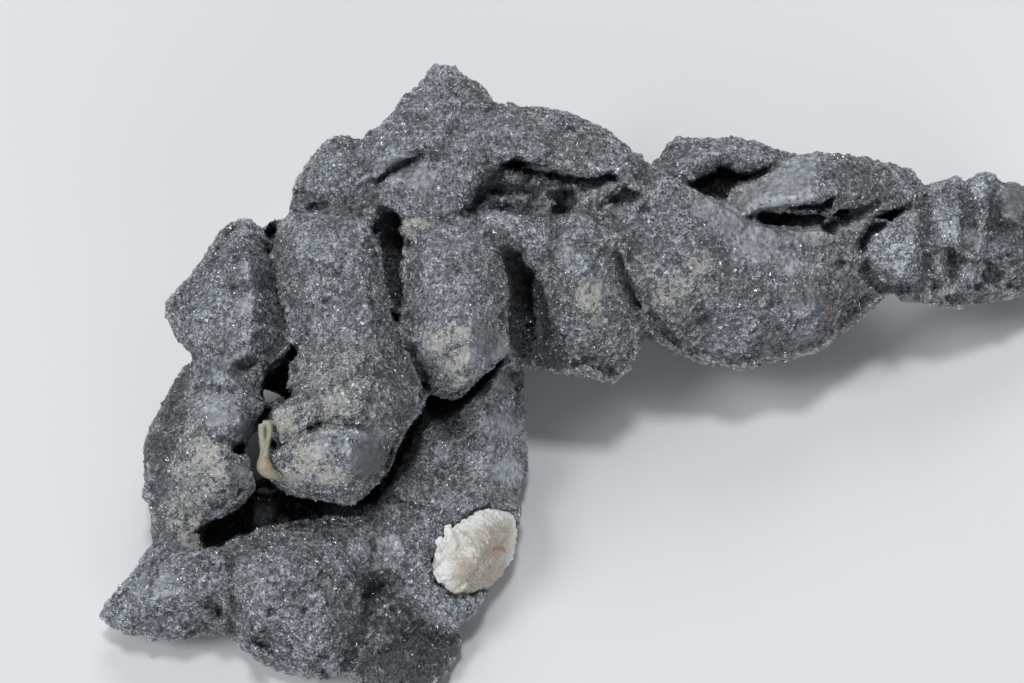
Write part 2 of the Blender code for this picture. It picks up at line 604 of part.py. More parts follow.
def cut(piece, cutter):
    modifier = piece.modifiers.new("Cut", "BOOLEAN")
    modifier.operation = "DIFFERENCE"
    modifier.solver = "EXACT"
    modifier.object = cutter
    cutter.hide_render = True
    cutter.display_type = "WIRE"


def soften(piece, passes):
    modifier = piece.modifiers.new("Soften", "SMOOTH")
    modifier.factor = 0.5
    modifier.iterations = passes


def thin(piece, triangles):
    """Keeps the number of triangles given, where they matter most."""
    modifier = piece.modifiers.new("Facets", "DECIMATE")
    modifier.ratio = triangles / sum(len(face.vertices) - 2 for face in piece.data.polygons)


def roughen(piece, name, kind, size, strength, **settings):
    texture = bpy.data.textures.new(name, kind)
    texture.noise_scale = size * MM
    for setting, value in settings.items():
        setattr(texture, setting, value)
    modifier = piece.modifiers.new(name, "DISPLACE")
    modifier.texture = texture
    modifier.texture_coords = "LOCAL"
    modifier.strength = strength * MM
    modifier.mid_level = 0.5


def make_mass():
    solids = [*hood(), *tail(), *lobes(), *back_layer(), *foot(), *limb(), *hidden_back()]
    mass = placed("hematite_mass", hull_mesh("hematite_mass", solids))
    fuse(mass, UNION_VOXEL)
    applied(mass)
    clefts = placed("clefts", hull_mesh("clefts", hollows()))
    fuse(clefts, CARVED_VOXEL)
    applied(clefts)
    cut(mass, clefts)
    fuse(mass, CARVED_VOXEL)
    soften(mass, 2)
    roughen(mass, "Lumps", "CLOUDS", 7.0, 1.2, noise_depth=2)
    roughen(mass, "Knots", "VORONOI", 3.0, -0.6)
    applied(mass)
    thin(mass, MASS_TRIANGLES)
    applied(mass)
    return mass


def make_nodule():
    """The crusted lump on the slab. It is wider than the seat that it sits in."""
    dome = lump(
        [(-3.2, -20.8, -7), (0.2, -21.4, -10), (0.7, -23.7, -10), (0.0, -27.4, -9.5), (-1.8, -30.0, -8.5),
         (-4.8, -32.0, -6.5), (-6.4, -32.4, -5.6), (-8.0, -31.8, -4.6), (-9.1, -29.9, -4),
         (-9.4, -25.6, -3.8),
         (-7.4, -23.2, -4.4), (-5, -21.8, -5.6)],
        [(-5.0, -28.4, 0.2), (-3.4, -25.6, -1.4), (-6.4, -26.4, -0.4), (-3, -23, -4), (-6.6, -29.8, -0.8)],
        depth=5,
        taper=0.6,
    )
    lip = lump(
        [(-10.3, -28.6, -4), (-9.7, -26, -4), (-8.2, -24.4, -4), (-6, -24.6, -4), (-7, -30.5, -4),
         (-8.8, -31, -4)],
        [(-8.6, -27.6, -1.6)],
        depth=3,
    )
    nodule = placed("white_nodule", hull_mesh("white_nodule", [dome, lip]))
    fuse(nodule, NODULE_VOXEL)
    soften(nodule, 3)
    roughen(nodule, "Crust", "CLOUDS", 1.6, 0.7, noise_depth=2)
    applied(nodule)
    thin(nodule, NODULE_TRIANGLES)
    applied(nodule)
    return nodule


def make_strand():
    """The pale strand: a hook that thickens into a blob where it clings to the middle lobe."""
    route = [
        (-31.3, -13.0, 3.2, 0.4), (-31.6, -11.4, 2.8, 0.55), (-31.1, -10.2, 2.8, 0.55),
        (-30.1, -10.2, 3.2, 0.55), (-29.7, -11.4, 4.2, 0.55), (-30.1, -13.0, 4.6, 0.6),
        (-30.6, -14.4, 4.4, 0.85), (-30.6, -15.6, 4.0, 1.0), (-30.2, -17.0, 3.6, 0.6),
    ]
    curve = bpy.data.curves.new("pale_strand", "CURVE")
    curve.dimensions = "3D"
    curve.bevel_depth = MM
    curve.bevel_resolution = 3
    curve.use_fill_caps = True
    spline = curve.splines.new("NURBS")
    spline.points.add(len(route) - 1)
    spline.order_u = 3
    spline.resolution_u = 5
    spline.use_endpoint_u = True
    for point, (u, v, w, radius) in zip(spline.points, route):
        point.co = (*world(u, v, w), 1)
        point.radius = radius
    strand = placed("pale_strand", curve)
    graph = bpy.context.evaluated_depsgraph_get()
    data = bpy.data.meshes.new_from_object(strand.evaluated_get(graph))
    bpy.data.objects.remove(strand)
    strand = placed("pale_strand", data)
    fuse(strand, STRAND_VOXEL)
    soften(strand, 2)
    applied(strand)
    thin(strand, STRAND_TRIANGLES)
    applied(strand)
    return strand


def seat(mass, guest):
    """Cuts the guest's shape, widened by the seat gap, out of the mass."""
    socket = placed(guest.name + "_socket", guest.data.copy())
    widen = socket.modifiers.new("Gap", "DISPLACE")
    widen.strength = SEAT_GAP * MM
    widen.mid_level = 0.0
    applied(socket)
    cut(mass, socket)
    applied(mass)
    bpy.data.objects.remove(socket)


def rest_on_ground(mass):
    """Trims the lowest lumps level, which leaves the small flats that the specimen stands on."""
    below = bmesh.new()
    bmesh.ops.create_cube(below, size=1.0)
    bmesh.ops.translate(below, verts=below.verts, vec=(0, 0, -0.5))
    data = bpy.data.meshes.new("ground")
    below.to_mesh(data)
    below.free()
    ground = placed("ground", data)
    cut(mass, ground)
    applied(mass)
    bpy.data.objects.remove(ground)


def centre(piece):
    """Moves the middle of the finished outline onto the origin. The roughness has been made by now, so it
    keeps its shape."""
    piece.data.transform(Matrix.Translation((FACE_MIDDLE[0] * MM, FACE_MIDDLE[1] * MM, 0)))


def finish(piece, colour, roughness, metallic):
    material = bpy.data.materials.new(piece.name)
    material.use_nodes = True
    surface = material.node_tree.nodes["Principled BSDF"]
    surface.inputs["Base Color"].default_value = (*colour, 1)
    surface.inputs["Roughness"].default_value = roughness
    surface.inputs["Metallic"].default_value = metallic
    piece.data.materials.clear()
    piece.data.materials.append(material)


def main():
    for item in list(bpy.data.objects):
        bpy.data.objects.remove(item, do_unlink=True)
    mass = make_mass()
    nodule = make_nodule()
    strand = make_strand()
    rest_on_ground(mass)
    seat(mass, nodule)
    seat(mass, strand)
    for piece in (mass, nodule, strand):
        centre(piece)
    finish(mass, (0.15, 0.16, 0.18), 0.5, 0.3)
    finish(nodule, (0.75, 0.72, 0.66), 0.8, 0.0)
    finish(strand, (0.7, 0.62, 0.45), 0.4, 0.0)


main()
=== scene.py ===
# The looks of a lobed hematite specimen: the weathered mass under its crust of small tabular crystals,
# the dust and stains on it, painted shade and highlights, the white nodule and the pale strand, on a plain
# pale floor.

import json
import math

import bpy
import numpy as np
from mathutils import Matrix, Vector, noise
from mathutils.bvhtree import BVHTree
from mathutils.geometry import delaunay_2d_cdt

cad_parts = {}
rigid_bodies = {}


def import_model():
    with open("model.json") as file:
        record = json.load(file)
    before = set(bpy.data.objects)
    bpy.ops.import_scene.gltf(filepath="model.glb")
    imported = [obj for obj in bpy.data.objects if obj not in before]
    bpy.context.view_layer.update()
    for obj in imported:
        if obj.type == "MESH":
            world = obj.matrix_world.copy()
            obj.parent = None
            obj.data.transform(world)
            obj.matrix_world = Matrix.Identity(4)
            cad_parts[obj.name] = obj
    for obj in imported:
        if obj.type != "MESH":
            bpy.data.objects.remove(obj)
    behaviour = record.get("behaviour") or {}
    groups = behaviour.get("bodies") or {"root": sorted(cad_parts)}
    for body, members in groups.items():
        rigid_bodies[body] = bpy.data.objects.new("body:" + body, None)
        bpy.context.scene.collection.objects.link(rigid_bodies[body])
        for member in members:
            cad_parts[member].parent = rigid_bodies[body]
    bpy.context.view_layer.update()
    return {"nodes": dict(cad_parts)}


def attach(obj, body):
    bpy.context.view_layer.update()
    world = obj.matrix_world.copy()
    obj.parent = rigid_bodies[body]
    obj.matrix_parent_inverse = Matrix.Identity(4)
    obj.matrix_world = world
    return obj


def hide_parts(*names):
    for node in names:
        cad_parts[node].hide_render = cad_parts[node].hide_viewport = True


mm = 0.001
weld = 0.002 * mm  # corners closer than this are one
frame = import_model()

# The specimen is described on its show face: right, up and towards the eye, in mm.
showFace = {
    "elevation": 55.0,  # degrees, how steeply the eye looks down
    "distance": 302.0,  # mm from the eye to the middle of the show face
    "middle": (-11.6, -3.6, 28.3),  # mm
    "lens": 85.0,  # mm, before a sensor of this width
    "sensor": 36.0,
    "nearest": 0.01,  # metres, what is closer isn't drawn
    "grazing": 0.35,  # faces that turn away further than this are never seen
    "skin": 0.3,  # mm, a point this far behind the surface still counts as seen
}


def eyeAxes():
    tilt = math.radians(showFace["elevation"])
    right = np.array((1.0, 0.0, 0.0))
    up = np.array((0.0, math.sin(tilt), math.cos(tilt)))
    toEye = np.array((0.0, -math.cos(tilt), math.sin(tilt)))
    return right, up, toEye


def spreadAt(w):  # what lies nearer to the eye spreads less for the same place on the show face
    return (showFace["distance"] - w) / showFace["distance"]


def placeOf(u, v, w):  # metres, of a point seen at (u, v) on the show face that lies w towards the eye
    right, up, toEye = eyeAxes()
    spread = spreadAt(w)
    return Vector((np.array(showFace["middle"]) + right * u * spread + up * v * spread + toEye * w) * mm)


def seenAt(points):  # where each point is seen on the show face, and how far it lies towards the eye
    right, up, toEye = eyeAxes()
    away = points / mm - np.array(showFace["middle"])
    w = away @ toEye
    return np.stack((away @ right / spreadAt(w), away @ up / spreadAt(w), w), axis=1)


def placesOf(seen):  # metres, of every point described by seenAt
    right, up, toEye = eyeAxes()
    spread = spreadAt(seen[:, 2])[:, None]
    across = right * seen[:, :1] * spread + up * seen[:, 1:2] * spread
    return (np.array(showFace["middle"]) + across + toEye * seen[:, 2:]) * mm


# Modelling helpers


def deselectAll():
    for item in bpy.context.selected_objects:
        item.select_set(False)


def useOnly(piece):
    deselectAll()
    piece.select_set(True)
    bpy.context.view_layer.objects.active = piece


def joinInto(piece, others):
    useOnly(piece)
    for other in others:
        other.select_set(True)
    bpy.ops.object.join()


def linked(name, data):
    piece = bpy.data.objects.new(name, data)
    bpy.context.scene.collection.objects.link(piece)
    return piece


def applyModifiers(piece):
    useOnly(piece)
    for modifier in list(piece.modifiers):
        bpy.ops.object.modifier_apply(modifier=modifier.name)


def copyOfNode(node, name):
    piece = linked(name, frame["nodes"][node].data.copy())
    useOnly(piece)
    bpy.ops.object.mode_set(mode="EDIT")
    bpy.ops.mesh.select_all(action="SELECT")
    bpy.ops.mesh.remove_doubles(threshold=weld)
    bpy.ops.object.mode_set(mode="OBJECT")
    piece.data.materials.clear()
    return piece


def fuse(piece, voxel):
    modifier = piece.modifiers.new("Fuse", "REMESH")
    modifier.mode = "VOXEL"
    modifier.voxel_size = voxel * mm


def soften(piece, passes):
    piece.modifiers.new("Soften", "SMOOTH").iterations = passes


def roughen(piece, layers):  # texture, size and height in mm, where it lies, and further settings
    for kind, size, height, group, settings in layers:
        texture = bpy.data.textures.new(piece.name + kind.title(), kind)
        texture.noise_scale = size * mm
        for setting, value in settings.items():
            setattr(texture, setting, value)
        modifier = piece.modifiers.new(kind.title(), "DISPLACE")
        modifier.texture = texture
        modifier.texture_coords = "LOCAL"
        modifier.strength = height * mm
        modifier.vertex_group = group


def thinTo(piece, triangles, group):
    piece.data.calc_loop_triangles()
    found = len(piece.data.loop_triangles)
    if found > triangles:
        modifier = piece.modifiers.new("Thin", "DECIMATE")
        modifier.ratio = triangles / found
        modifier.vertex_group = group
        modifier.use_collapse_triangulate = True
        applyModifiers(piece)


def restOnGround(piece):  # nothing sinks below the floor
    points = pointsOf(piece)
    points[:, 2] = np.maximum(points[:, 2], 0.0)
    movePoints(piece, points)


def keepOneBody(piece):  # the one that the highest point belongs to
    useOnly(piece)
    bpy.ops.object.mode_set(mode="EDIT")
    bpy.ops.mesh.select_mode(type="VERT")
    bpy.ops.mesh.select_all(action="DESELECT")
    bpy.ops.object.mode_set(mode="OBJECT")
    highest = int(pointsOf(piece)[:, 2].argmax())
    piece.data.vertices[highest].select = True
    bpy.ops.object.mode_set(mode="EDIT")
    bpy.ops.mesh.select_linked()
    bpy.ops.mesh.select_all(action="INVERT")
    bpy.ops.mesh.delete(type="VERT")
    bpy.ops.object.mode_set(mode="OBJECT")


# Numbers of a mesh: a row for each of its points, edges or faces


def valuesOf(items, name, width=1, kind=np.float32):
    values = np.empty(len(items) * width, kind)
    items.foreach_get(name, values)
    return values.reshape(-1, width) if width > 1 else values


def pointsOf(piece):
    return valuesOf(piece.data.vertices, "co", 3).astype(float)


def normalsOf(piece):
    return valuesOf(piece.data.vertex_normals, "vector", 3).astype(float)


def cornersOf(piece):  # which three points each face has
    return valuesOf(piece.data.polygons, "vertices", 3, np.int32)


def facesOf(piece, name):  # a number for each face, from the painted points
    return valuesOf(piece.data.attributes[name].data, "value")[cornersOf(piece)].mean(axis=1)


def movePoints(piece, points):
    piece.data.vertices.foreach_set("co", points.astype(np.float32).ravel())
    piece.data.update()


def store(piece, name, amounts, kind="FLOAT", domain="POINT"):
    values = amounts.astype(np.int32 if kind == "INT" else np.float32)
    piece.data.attributes.new(name, kind, domain).data.foreach_set("value", values)


def smoothStep(low, high, value):
    share = np.clip((value - low) / (high - low), 0, 1)
    return share * share * (3 - 2 * share)


def facingEye(piece, low=-0.2, high=0.2):  # 1 where a point faces the eye, 0 where it turns away
    return smoothStep(low, high, normalsOf(piece) @ eyeAxes()[2])


def alongPath(seen, path):  # distance of each point from the path, its side (left is +) and share of the way
    closest = np.full(len(seen), np.inf)
    side = np.zeros(len(seen))
    share = np.zeros(len(seen))
    runs = [math.dist(a, b) for a, b in zip(path, path[1:])]
    travelled = 0.0
    for (a, b), run in zip(zip(path, path[1:]), runs):
        start = np.array(a, float)
        step = (np.array(b, float) - start) / run
        away = seen[:, :2] - start
        reach = np.clip(away @ step, 0, run)
        gap = np.hypot(away[:, 0] - step[0] * reach, away[:, 1] - step[1] * reach)
        nearer = gap < closest
        closest[nearer] = gap[nearer]
        side[nearer] = np.sign(step[0] * away[:, 1] - step[1] * away[:, 0])[nearer]
        share[nearer] = ((travelled + reach) / sum(runs))[nearer]
        travelled += run
    return closest, side, share


def insideOf(seen, outline):
    inside = np.zeros(len(seen), bool)
    for (u0, v0), (u1, v1) in zip(outline, outline[1:] + outline[:1]):
        if v0 != v1:
            crosses = (v0 > seen[:, 1]) != (v1 > seen[:, 1])
            inside ^= crosses & (seen[:, 0] < u0 + (seen[:, 1] - v0) * (u1 - u0) / (v1 - v0))
    return inside


def inwardOf(seen, outline):  # mm that each point is seen inside the outline, less than nothing outside it
    gap = alongPath(seen, outline + outline[:1])[0]
    return np.where(insideOf(seen, outline), gap, -gap)


# The hematite mass. It is worked on the show face, in mm: right, up and, for a facet, towards the eye.
massForm = {
    "voxels": (0.42, 0.32),  # before and after the carving
    "softening": 3,
    "triangles": 197000,
    "backShare": 0.8,  # how readily the hidden side gives up its triangles
    "smoothShare": 0.85,  # how much of the roughness a smooth patch loses
    "facingFrom": -0.3,
    "roughness": [  # lumps, knots, crust, and crumbs only where the patches say so
        ("CLOUDS", 1.9, 0.62, "open", {"noise_depth": 3, "noise_type": "HARD_NOISE"}),
        ("VORONOI", 1.1, 0.36, "open", {}),
        ("STUCCI", 0.6, 0.48, "open", {}),
        ("VORONOI", 0.95, 0.7, "crumbly", {}),
    ],
}

# Each block is an outline with crests and valleys inside it, and flat facets between them. A corner that
# comes back in a crest keeps its height. The reach is how far in mm a facet may lie from the rock as it was.
blocks = {
    "leftLobe": {"outline": [
        (-36.9, 12.3, -12.5), (-35.3, 14.5, -13.5), (-33.3, 15.4, -13.5), (-31.7, 14.4, -14.5),
        (-30.7, 12.3, -15), (-30.2, 10, -13), (-30, 6, -11.5), (-29.4, 3, -10.5), (-28.3, 1, -9.5),
        (-29, -1.5, -9), (-30.2, -2.6, -8), (-32.2, -1.8, -3.4), (-35, -3.2, -1), (-37.8, -4.6, -3),
        (-39.3, -2.2, -5), (-41.6, 0.6, -8), (-43.2, 3.3, -10), (-42.9, 4.7, -10.5), (-41, 7, -11),
        (-38.6, 9.3, -11.5), (-37.3, 11, -12),
    ], "crests": [
        [(-33.3, 15.4), (-33.6, 13, -7.6), (-32.9, 10, -5.4), (-32.3, 6, -3.4), (-32.3, 2, -2.2),
         (-33, -1.6, -0.6), (-35, -3.2)],
        [(-33.6, 13), (-36.6, 8.5, -6.2), (-38.6, 4.5, -4.4), (-38.6, 0.5, -2.6), (-37.8, -4.6)],
        [(-38.6, 4.5), (-43.2, 3.3)],
        [(-38.6, 0.5), (-32.3, 2)],
    ]},
    "leftLow": {"outline": [
        (-40.3, -6, -7), (-38.6, -5.2, -3.5), (-36, -5.4, -0.8), (-33.3, -6, -0.8), (-31.6, -7.2, -2.2),
        (-30.9, -8.6, -3.4), (-31.8, -10.3, -3.2), (-33.2, -12.3, -2), (-34.9, -13.3, 0), (-37, -12.3, 4),
        (-39.2, -12.5, 2.2), (-41, -13, -1), (-40.6, -9.5, -4.5),
    ], "crests": [
        [(-38.6, -5.2), (-38.4, -8.5, 1.4), (-38.2, -10.7, 3), (-37, -12.3)],
        [(-36, -5.4), (-34.6, -7.6, 2.6), (-34, -10, 2.4), (-34.9, -13.3)],
        [(-38.4, -8.5), (-34.6, -7.6)],
    ]},
    "leftTip": {"outline": [
        (-41, -13, -1), (-39.2, -12.5, 2.2), (-37, -12.3, 4), (-35.3, -14, 3.4), (-33.4, -14.8, 1.2),
        (-32.3, -16.3, 0.2), (-32.5, -17.6, 0), (-33.8, -19.2, -0.8), (-35.6, -20.6, -1.6),
        (-37.2, -22, -2.5), (-38.8, -22.6, -3), (-41, -22, -4.5), (-42.6, -20, -6), (-42.3, -16, -2.5),
    ], "crests": [
        [(-37, -12.3), (-36, -15, 6.8), (-35.4, -17.4, 6.4), (-35.3, -19.4, 3.2), (-35.6, -20.6)],
        [(-36, -15), (-39.5, -15.2, 4.4), (-42.3, -16)],
        [(-35.4, -17.4), (-38.5, -19.4, 3), (-41, -22)],
        [(-36, -15), (-33.6, -16.4, 3.6), (-32.5, -17.6)],
    ]},
    "middleLobe": {"reach": 14, "outline": [
        (-29.8, 14.8, -12.5), (-28.2, 16, -12), (-25.8, 16.6, -11.5), (-22, 16.2, -10.5),
        (-18.2, 16.4, -10.8), (-16.7, 15, -11.5), (-17.2, 13, -11.3), (-16.7, 11, -10.4), (-16, 9.3, -9.8),
        (-15.6, 7, -9), (-15.1, 4.7, -8.2), (-14.6, 2.2, -7.4), (-13.7, 0, -6.8), (-12.9, -2, -6.2),
        (-12.2, -4, -5.6), (-11.4, -6.3, -5), (-11.1, -8.3, -4.2), (-12.4, -9.8, -2), (-14, -11.3, 0),
        (-15.8, -11.2, 2.8), (-18.3, -10.8, 5.4), (-21, -10.4, 6.8), (-24, -10.3, 6), (-25.6, -9.2, 5),
        (-27.4, -7.2, 1.5), (-27.9, -5.6, -1), (-27.3, -3.6, -2), (-27.7, -1.7, -3.5), (-27.2, 0, -4.2),
        (-28.2, 2, -6.5), (-29.6, 5, -8.8), (-30, 8, -9.8), (-30.3, 11, -11.5),
    ], "crests": [
        [(-18.2, 16.4), (-18.9, 12.5, -5), (-18.6, 8, -2), (-17.9, 4, -0.2), (-17.2, 0, 0.9),
         (-16.4, -4, 2.2), (-15.4, -8, 3.2), (-15.8, -11.2)],
        [(-25.8, 16.6), (-26.6, 12.5, -6.6), (-26, 9.8, -4.4), (-25.5, 5, -2.6), (-24.6, 0, -0.2),
         (-24.3, -4, 3), (-25, -7.5, 4.9)],
        [(-22, 16.2), (-22.5, 12.5, -4.6), (-22, 9.8, -2.2), (-21.3, 8, -2.7), (-21.3, 4, -0.4),
         (-20.6, 0, 1.4), (-20.3, -4, 4.6), (-20.2, -7.5, 6.9), (-21, -10.4)],
        [(-28.2, 2), (-25.5, 5), (-21.3, 4), (-17.9, 4), (-15.1, 4.7)],
    ]},
    "sideBlock": {"outline": [
        (-30.1, -8.6, -1.2), (-29, -7.9, 0), (-27.4, -7.2, 1.5), (-25.4, -8.8, 4.6), (-24.2, -10, 5.4),
        (-25.6, -11.1, 5.2), (-27.2, -12.2, 4.2), (-29.2, -13, 2.2), (-30, -11.6, 0.2), (-30.3, -10, -0.8),
    ], "crests": [
        [(-27.4, -7.2), (-28.4, -9.6, 3.8), (-29.2, -13)],
        [(-28.4, -9.6), (-25.6, -10.2, 5.8), (-24.2, -10)],
    ]},
    "boulder": {"outline": [
        (-29.3, -13.3, 2.8), (-27.2, -12.5, 4.6), (-25.6, -11.4, 6), (-24, -10.6, 6.8), (-21, -10.6, 7.6),
        (-18.3, -11, 5.8), (-16, -11.5, 2.6), (-15.3, -13.4, 0.5), (-16, -16.3, -0.5), (-17.4, -18.4, 0),
        (-20, -19.9, 1.5), (-21.8, -19.7, 2.5), (-23.6, -18.9, 3), (-27, -19, 2), (-28.6, -17.9, 1.5),
        (-30.2, -16.9, 0.8), (-31.2, -15.4, 0), (-30.2, -14, 1.5),
    ], "crests": [
        [(-29.3, -13.3), (-27, -14, 7), (-24, -12.9, 9.2), (-20.4, -12, 9.6), (-18.3, -11)],
        [(-20.4, -12), (-20.3, -15, 10.4), (-20.6, -17.6, 8.8), (-20, -19.9)],
        [(-27, -14), (-28.2, -16.4, 6.4), (-25, -17.5, 8.2), (-22.5, -17.9, 8.2), (-20.6, -17.6)],
        [(-28.2, -16.4), (-28.6, -17.9)],
        [(-20.3, -15), (-17, -14.4, 4.6), (-15.3, -13.4)],
    ]},
    "wedge": {"reach": 14, "outline": [
        (-14.4, 14, -11.5), (-12.7, 12.4, -10), (-13.9, 10.3, -9.5), (-14.1, 8, -8.5), (-13.5, 5.6, -7.5),
        (-13.7, 3.6, -7), (-14.1, 2.2, -6.4), (-12.9, 0.4, -5), (-11.9, -0.6, -3), (-8.5, -3.8, 2),
        (-6.3, -5.4, 4.4), (-4, -3.8, 1.6), (-0.9, -1.5, -3.6), (-0.1, -0.4, -5.2), (-0.9, 2, -6.8),
        (-1.3, 4, -7.4), (-0.4, 6, -9), (-0.6, 8, -10), (-1.4, 10.5, -10.5), (-2, 12.5, -10),
        (-4.5, 15.3, -9.8), (-7, 15.8, -9.2), (-10.5, 16, -9), (-12.8, 15.6, -10),
    ], "crests": [
        [(-7, 15.8), (-6.6, 12, -5.4), (-6.2, 8, -1.8), (-5.6, 4, 1.6), (-5.2, 1.6, 3.4), (-5.3, -2, 5.2),
         (-6.3, -5.4)],
        [(-10.5, 16), (-10.8, 9, -3.4), (-10.2, 4, -1), (-10.2, 0.6, 0.6), (-8.5, -3.8)],
        [(-4.5, 15.3), (-3, 10, -5.4), (-2.6, 5, -3), (-2.5, 1, -1.6), (-4, -3.8)],
        [(-10.2, 4), (-5.2, 1.6), (-2.5, 1)],
    ]},
    "wedgeUnder": {"reach": 18, "outline": [
        (-14, 0.6, -10), (-13, -0.2, -6.4), (-11.9, -0.9, -5), (-8.5, -4.1, -0.6), (-6.3, -5.7, 1.6),
        (-6.6, -7.4, -15), (-9, -8, -15), (-11, -7.4, -15), (-12, -4, -13.6),
    ]},
    "limb": {"reach": 13, "outline": [
        (-1.2, -2.4, -16), (0.3, -5, -20), (0.5, -10, -18.5), (1, -13, -18.5), (1.7, -15.3, -18.5),
        (1.1, -17, -17.5), (1.4, -18.6, -16.5), (1.2, -20.3, -16), (-3, -20.6, -9.2), (-6, -21.6, -6),
        (-10, -21, -4.6), (-14, -20, -4.8), (-15.5, -18.5, -6), (-13.2, -15.5, -8.6), (-11.6, -12, -11),
        (-10.2, -9.6, -12), (-7, -9, -12), (-4.6, -6.6, -12), (-2.6, -4.2, -14),
    ], "crests": [
        [(-1.2, -2.4), (-2.4, -5.2, -11.4), (-3.5, -8, -9.2), (-3.1, -11, -8.2), (-2.8, -15, -7.6),
         (-3, -20.6)],
        [(-10.2, -9.6), (-9.2, -13, -7.4), (-9.6, -17, -5), (-10, -21)],
        [(-7, -9), (-6.1, -11.4, -8.6), (-6.2, -15, -7), (-6, -21.6)],
    ]},
    "underSlab": {"reach": 12, "outline": [
        (-20, -37.4, -2), (-17.8, -34.2, -3), (-16, -33.2, -3.6), (-13.9, -32.4, -4.6), (-11, -34, -5.4),
        (-9.6, -35.3, -6.4), (-8, -36.4, -8), (-6.6, -37, -10), (-7.4, -42.4, -15), (-12, -43.4, -10.6),
        (-16, -43.4, -6), (-20, -43, -2.4),
    ], "crests": [
        [(-16, -33.2), (-15.4, -38, -4), (-16, -43.4)],
        [(-11, -34), (-11, -39, -8), (-12, -43.4)],
    ]},
    "toe": {"outline": [
        (-51, -34, -5), (-50.2, -32, -5), (-48, -30, -5.5), (-46.8, -28, -6), (-45.5, -26.3, -5),
        (-42, -25.5, -3.5), (-38, -26.5, -0.5), (-36, -28.5, 1.5), (-35.6, -31, 2), (-36, -34.5, -1),
        (-38, -36, -3.5), (-41, -37.3, -4), (-44, -37.6, -4), (-47, -36.8, -4), (-50, -36, -5),
    ], "crests": [
        [(-51, -34), (-47.5, -33, 1.4), (-44, -32, 2.8), (-40, -30.8, 3.6), (-35.6, -31)],
        [(-44, -32), (-43.5, -28.6, 0.2), (-45.5, -26.3)],
        [(-47.5, -33), (-47, -36.8)],
        [(-40, -30.8), (-41, -35, 0.4), (-41, -37.3)],
    ]},
    "foot": {"outline": [
        (-36, -26.4, -1), (-33, -24.8, -2), (-29, -24.2, -2), (-24, -23.6, -2), (-20.5, -24.2, -2),
        (-19.4, -27, -0.8), (-20.2, -30.5, 0.5), (-20.6, -34, 0), (-20.3, -38, -2), (-22, -42, 0),
        (-26, -42, 1), (-28.5, -40.4, -2), (-31.5, -38.4, -2), (-34, -36.8, -2), (-34.6, -33, 1),
        (-35.4, -30, 1.6),
    ], "crests": [
        [(-35.4, -30), (-32, -28.4, 3.4), (-28, -27.4, 4.2), (-24, -28, 4), (-21.6, -29.4, 2.4)],
        [(-28, -27.4), (-28.4, -31.5, 4.2), (-27, -35, 6.8), (-26, -42)],
        [(-34.6, -33), (-32, -34.2, 4.6), (-27, -35), (-23, -35.4, 5.4), (-20.6, -34)],
    ]},
    "plate": {"outline": [
        (-18, -24.6, -3), (-15, -22.4, -3), (-11.6, -22.6, -3), (-10.6, -25, -2.6), (-10.4, -29.4, -1.6),
        (-9, -30.8, -1.2), (-7.6, -32.2, -1.6), (-4.4, -31.8, -3.4), (-2.4, -31.8, -6), (-4.4, -34.4, -5.2),
        (-6.2, -36, -3.6), (-7, -36.2, -2.4), (-8, -35.8, -1.2), (-9.6, -34.7, 0.2), (-11, -33.3, 0.8),
        (-13.9, -31.6, 0.4), (-13.6, -30.4, -1), (-14.2, -28.8, -1.8), (-17.8, -28.1, -2.2),
    ], "crests": [
        [(-13.9, -31.6), (-10.4, -31.4, -0.4), (-6.6, -33.4, -1.6), (-7, -36.2)],
        [(-18, -24.6), (-14.2, -26, -1.2), (-11.4, -27.6, -1.2), (-10.4, -29.4)],
    ]},
    "hoodSide": {"outline": [
        (-27.8, 17, -14.5), (-27.2, 19.5, -14.5), (-25.6, 22, -15), (-24.3, 24.4, -16), (-21.5, 26, -17),
        (-20, 25, -15.5), (-17, 24.4, -12.8), (-17.6, 20.4, -11), (-18.4, 17.2, -10.6), (-22.4, 17.4, -10),
        (-24.4, 17, -11.5),
    ], "crests": [
        [(-21.5, 26), (-21.8, 22, -10.2), (-22.4, 19, -8.8), (-22.4, 17.4)],
        [(-21.8, 22), (-25.6, 22)],
        [(-21.8, 22), (-17.6, 20.4)],
    ]},
    "smallLobe": {"outline": [
        (4.2, 11, -11), (8, 12.6, -9.4), (11, 12, -9.6), (12.6, 9, -10.4), (13.6, 7, -11), (14.6, 4, -12),
        (15.2, 1.4, -13.4), (15.5, -1.4, -14.5), (15, -3.4, -15.5), (13.2, -4.8, -16), (11.4, -4.2, -15),
        (9.2, -3, -13.6), (6.3, -3.6, -14), (3.6, -3.2, -14), (2.4, -2.4, -13.6), (4.6, 1.6, -11.4),
        (5, 6, -10.4),
    ], "crests": [
        [(8, 12.6), (8.2, 8, -6.4), (9, 4, -6.4), (8.6, 1, -8.2), (9.2, -3)],
        [(5, 6), (8.2, 8), (12.6, 9)],
        [(9, 4), (11.8, 3.6, -8.6), (12.8, -1, -11.6), (13.2, -4.8)],
        [(11.8, 3.6), (13.6, 7)],
    ]},
    "tail": {"outline": [
        (18.4, 20.8, -13.6), (22, 19.4, -14.6), (26, 17.4, -15.2), (29.8, 15.2, -16), (32.4, 14.4, -16.2),
        (36, 14, -16.4), (38.6, 14.2, -16.8), (40.2, 13.6, -17.4), (42.6, 12, -18.6), (43.6, 9.6, -20.4),
        (44.6, 8, -22.4), (45.8, 5.6, -24), (42, 2, -22.6), (39, -0.6, -21), (36.5, -1.5, -20),
        (32, -2.2, -19), (28, -3.2, -19), (24, -1.8, -18.2), (20.4, -0.6, -17), (17.6, 1.6, -15.6),
        (16.2, 4.4, -14.4), (14.4, 8.4, -13.4), (14.4, 12, -12.4), (16, 16, -12.2),
    ], "crests": [
        [(16, 16), (21, 12, -10.8), (27, 11, -12.2), (33, 9.6, -13.2), (38.4, 8.6, -15), (43.6, 9.6)],
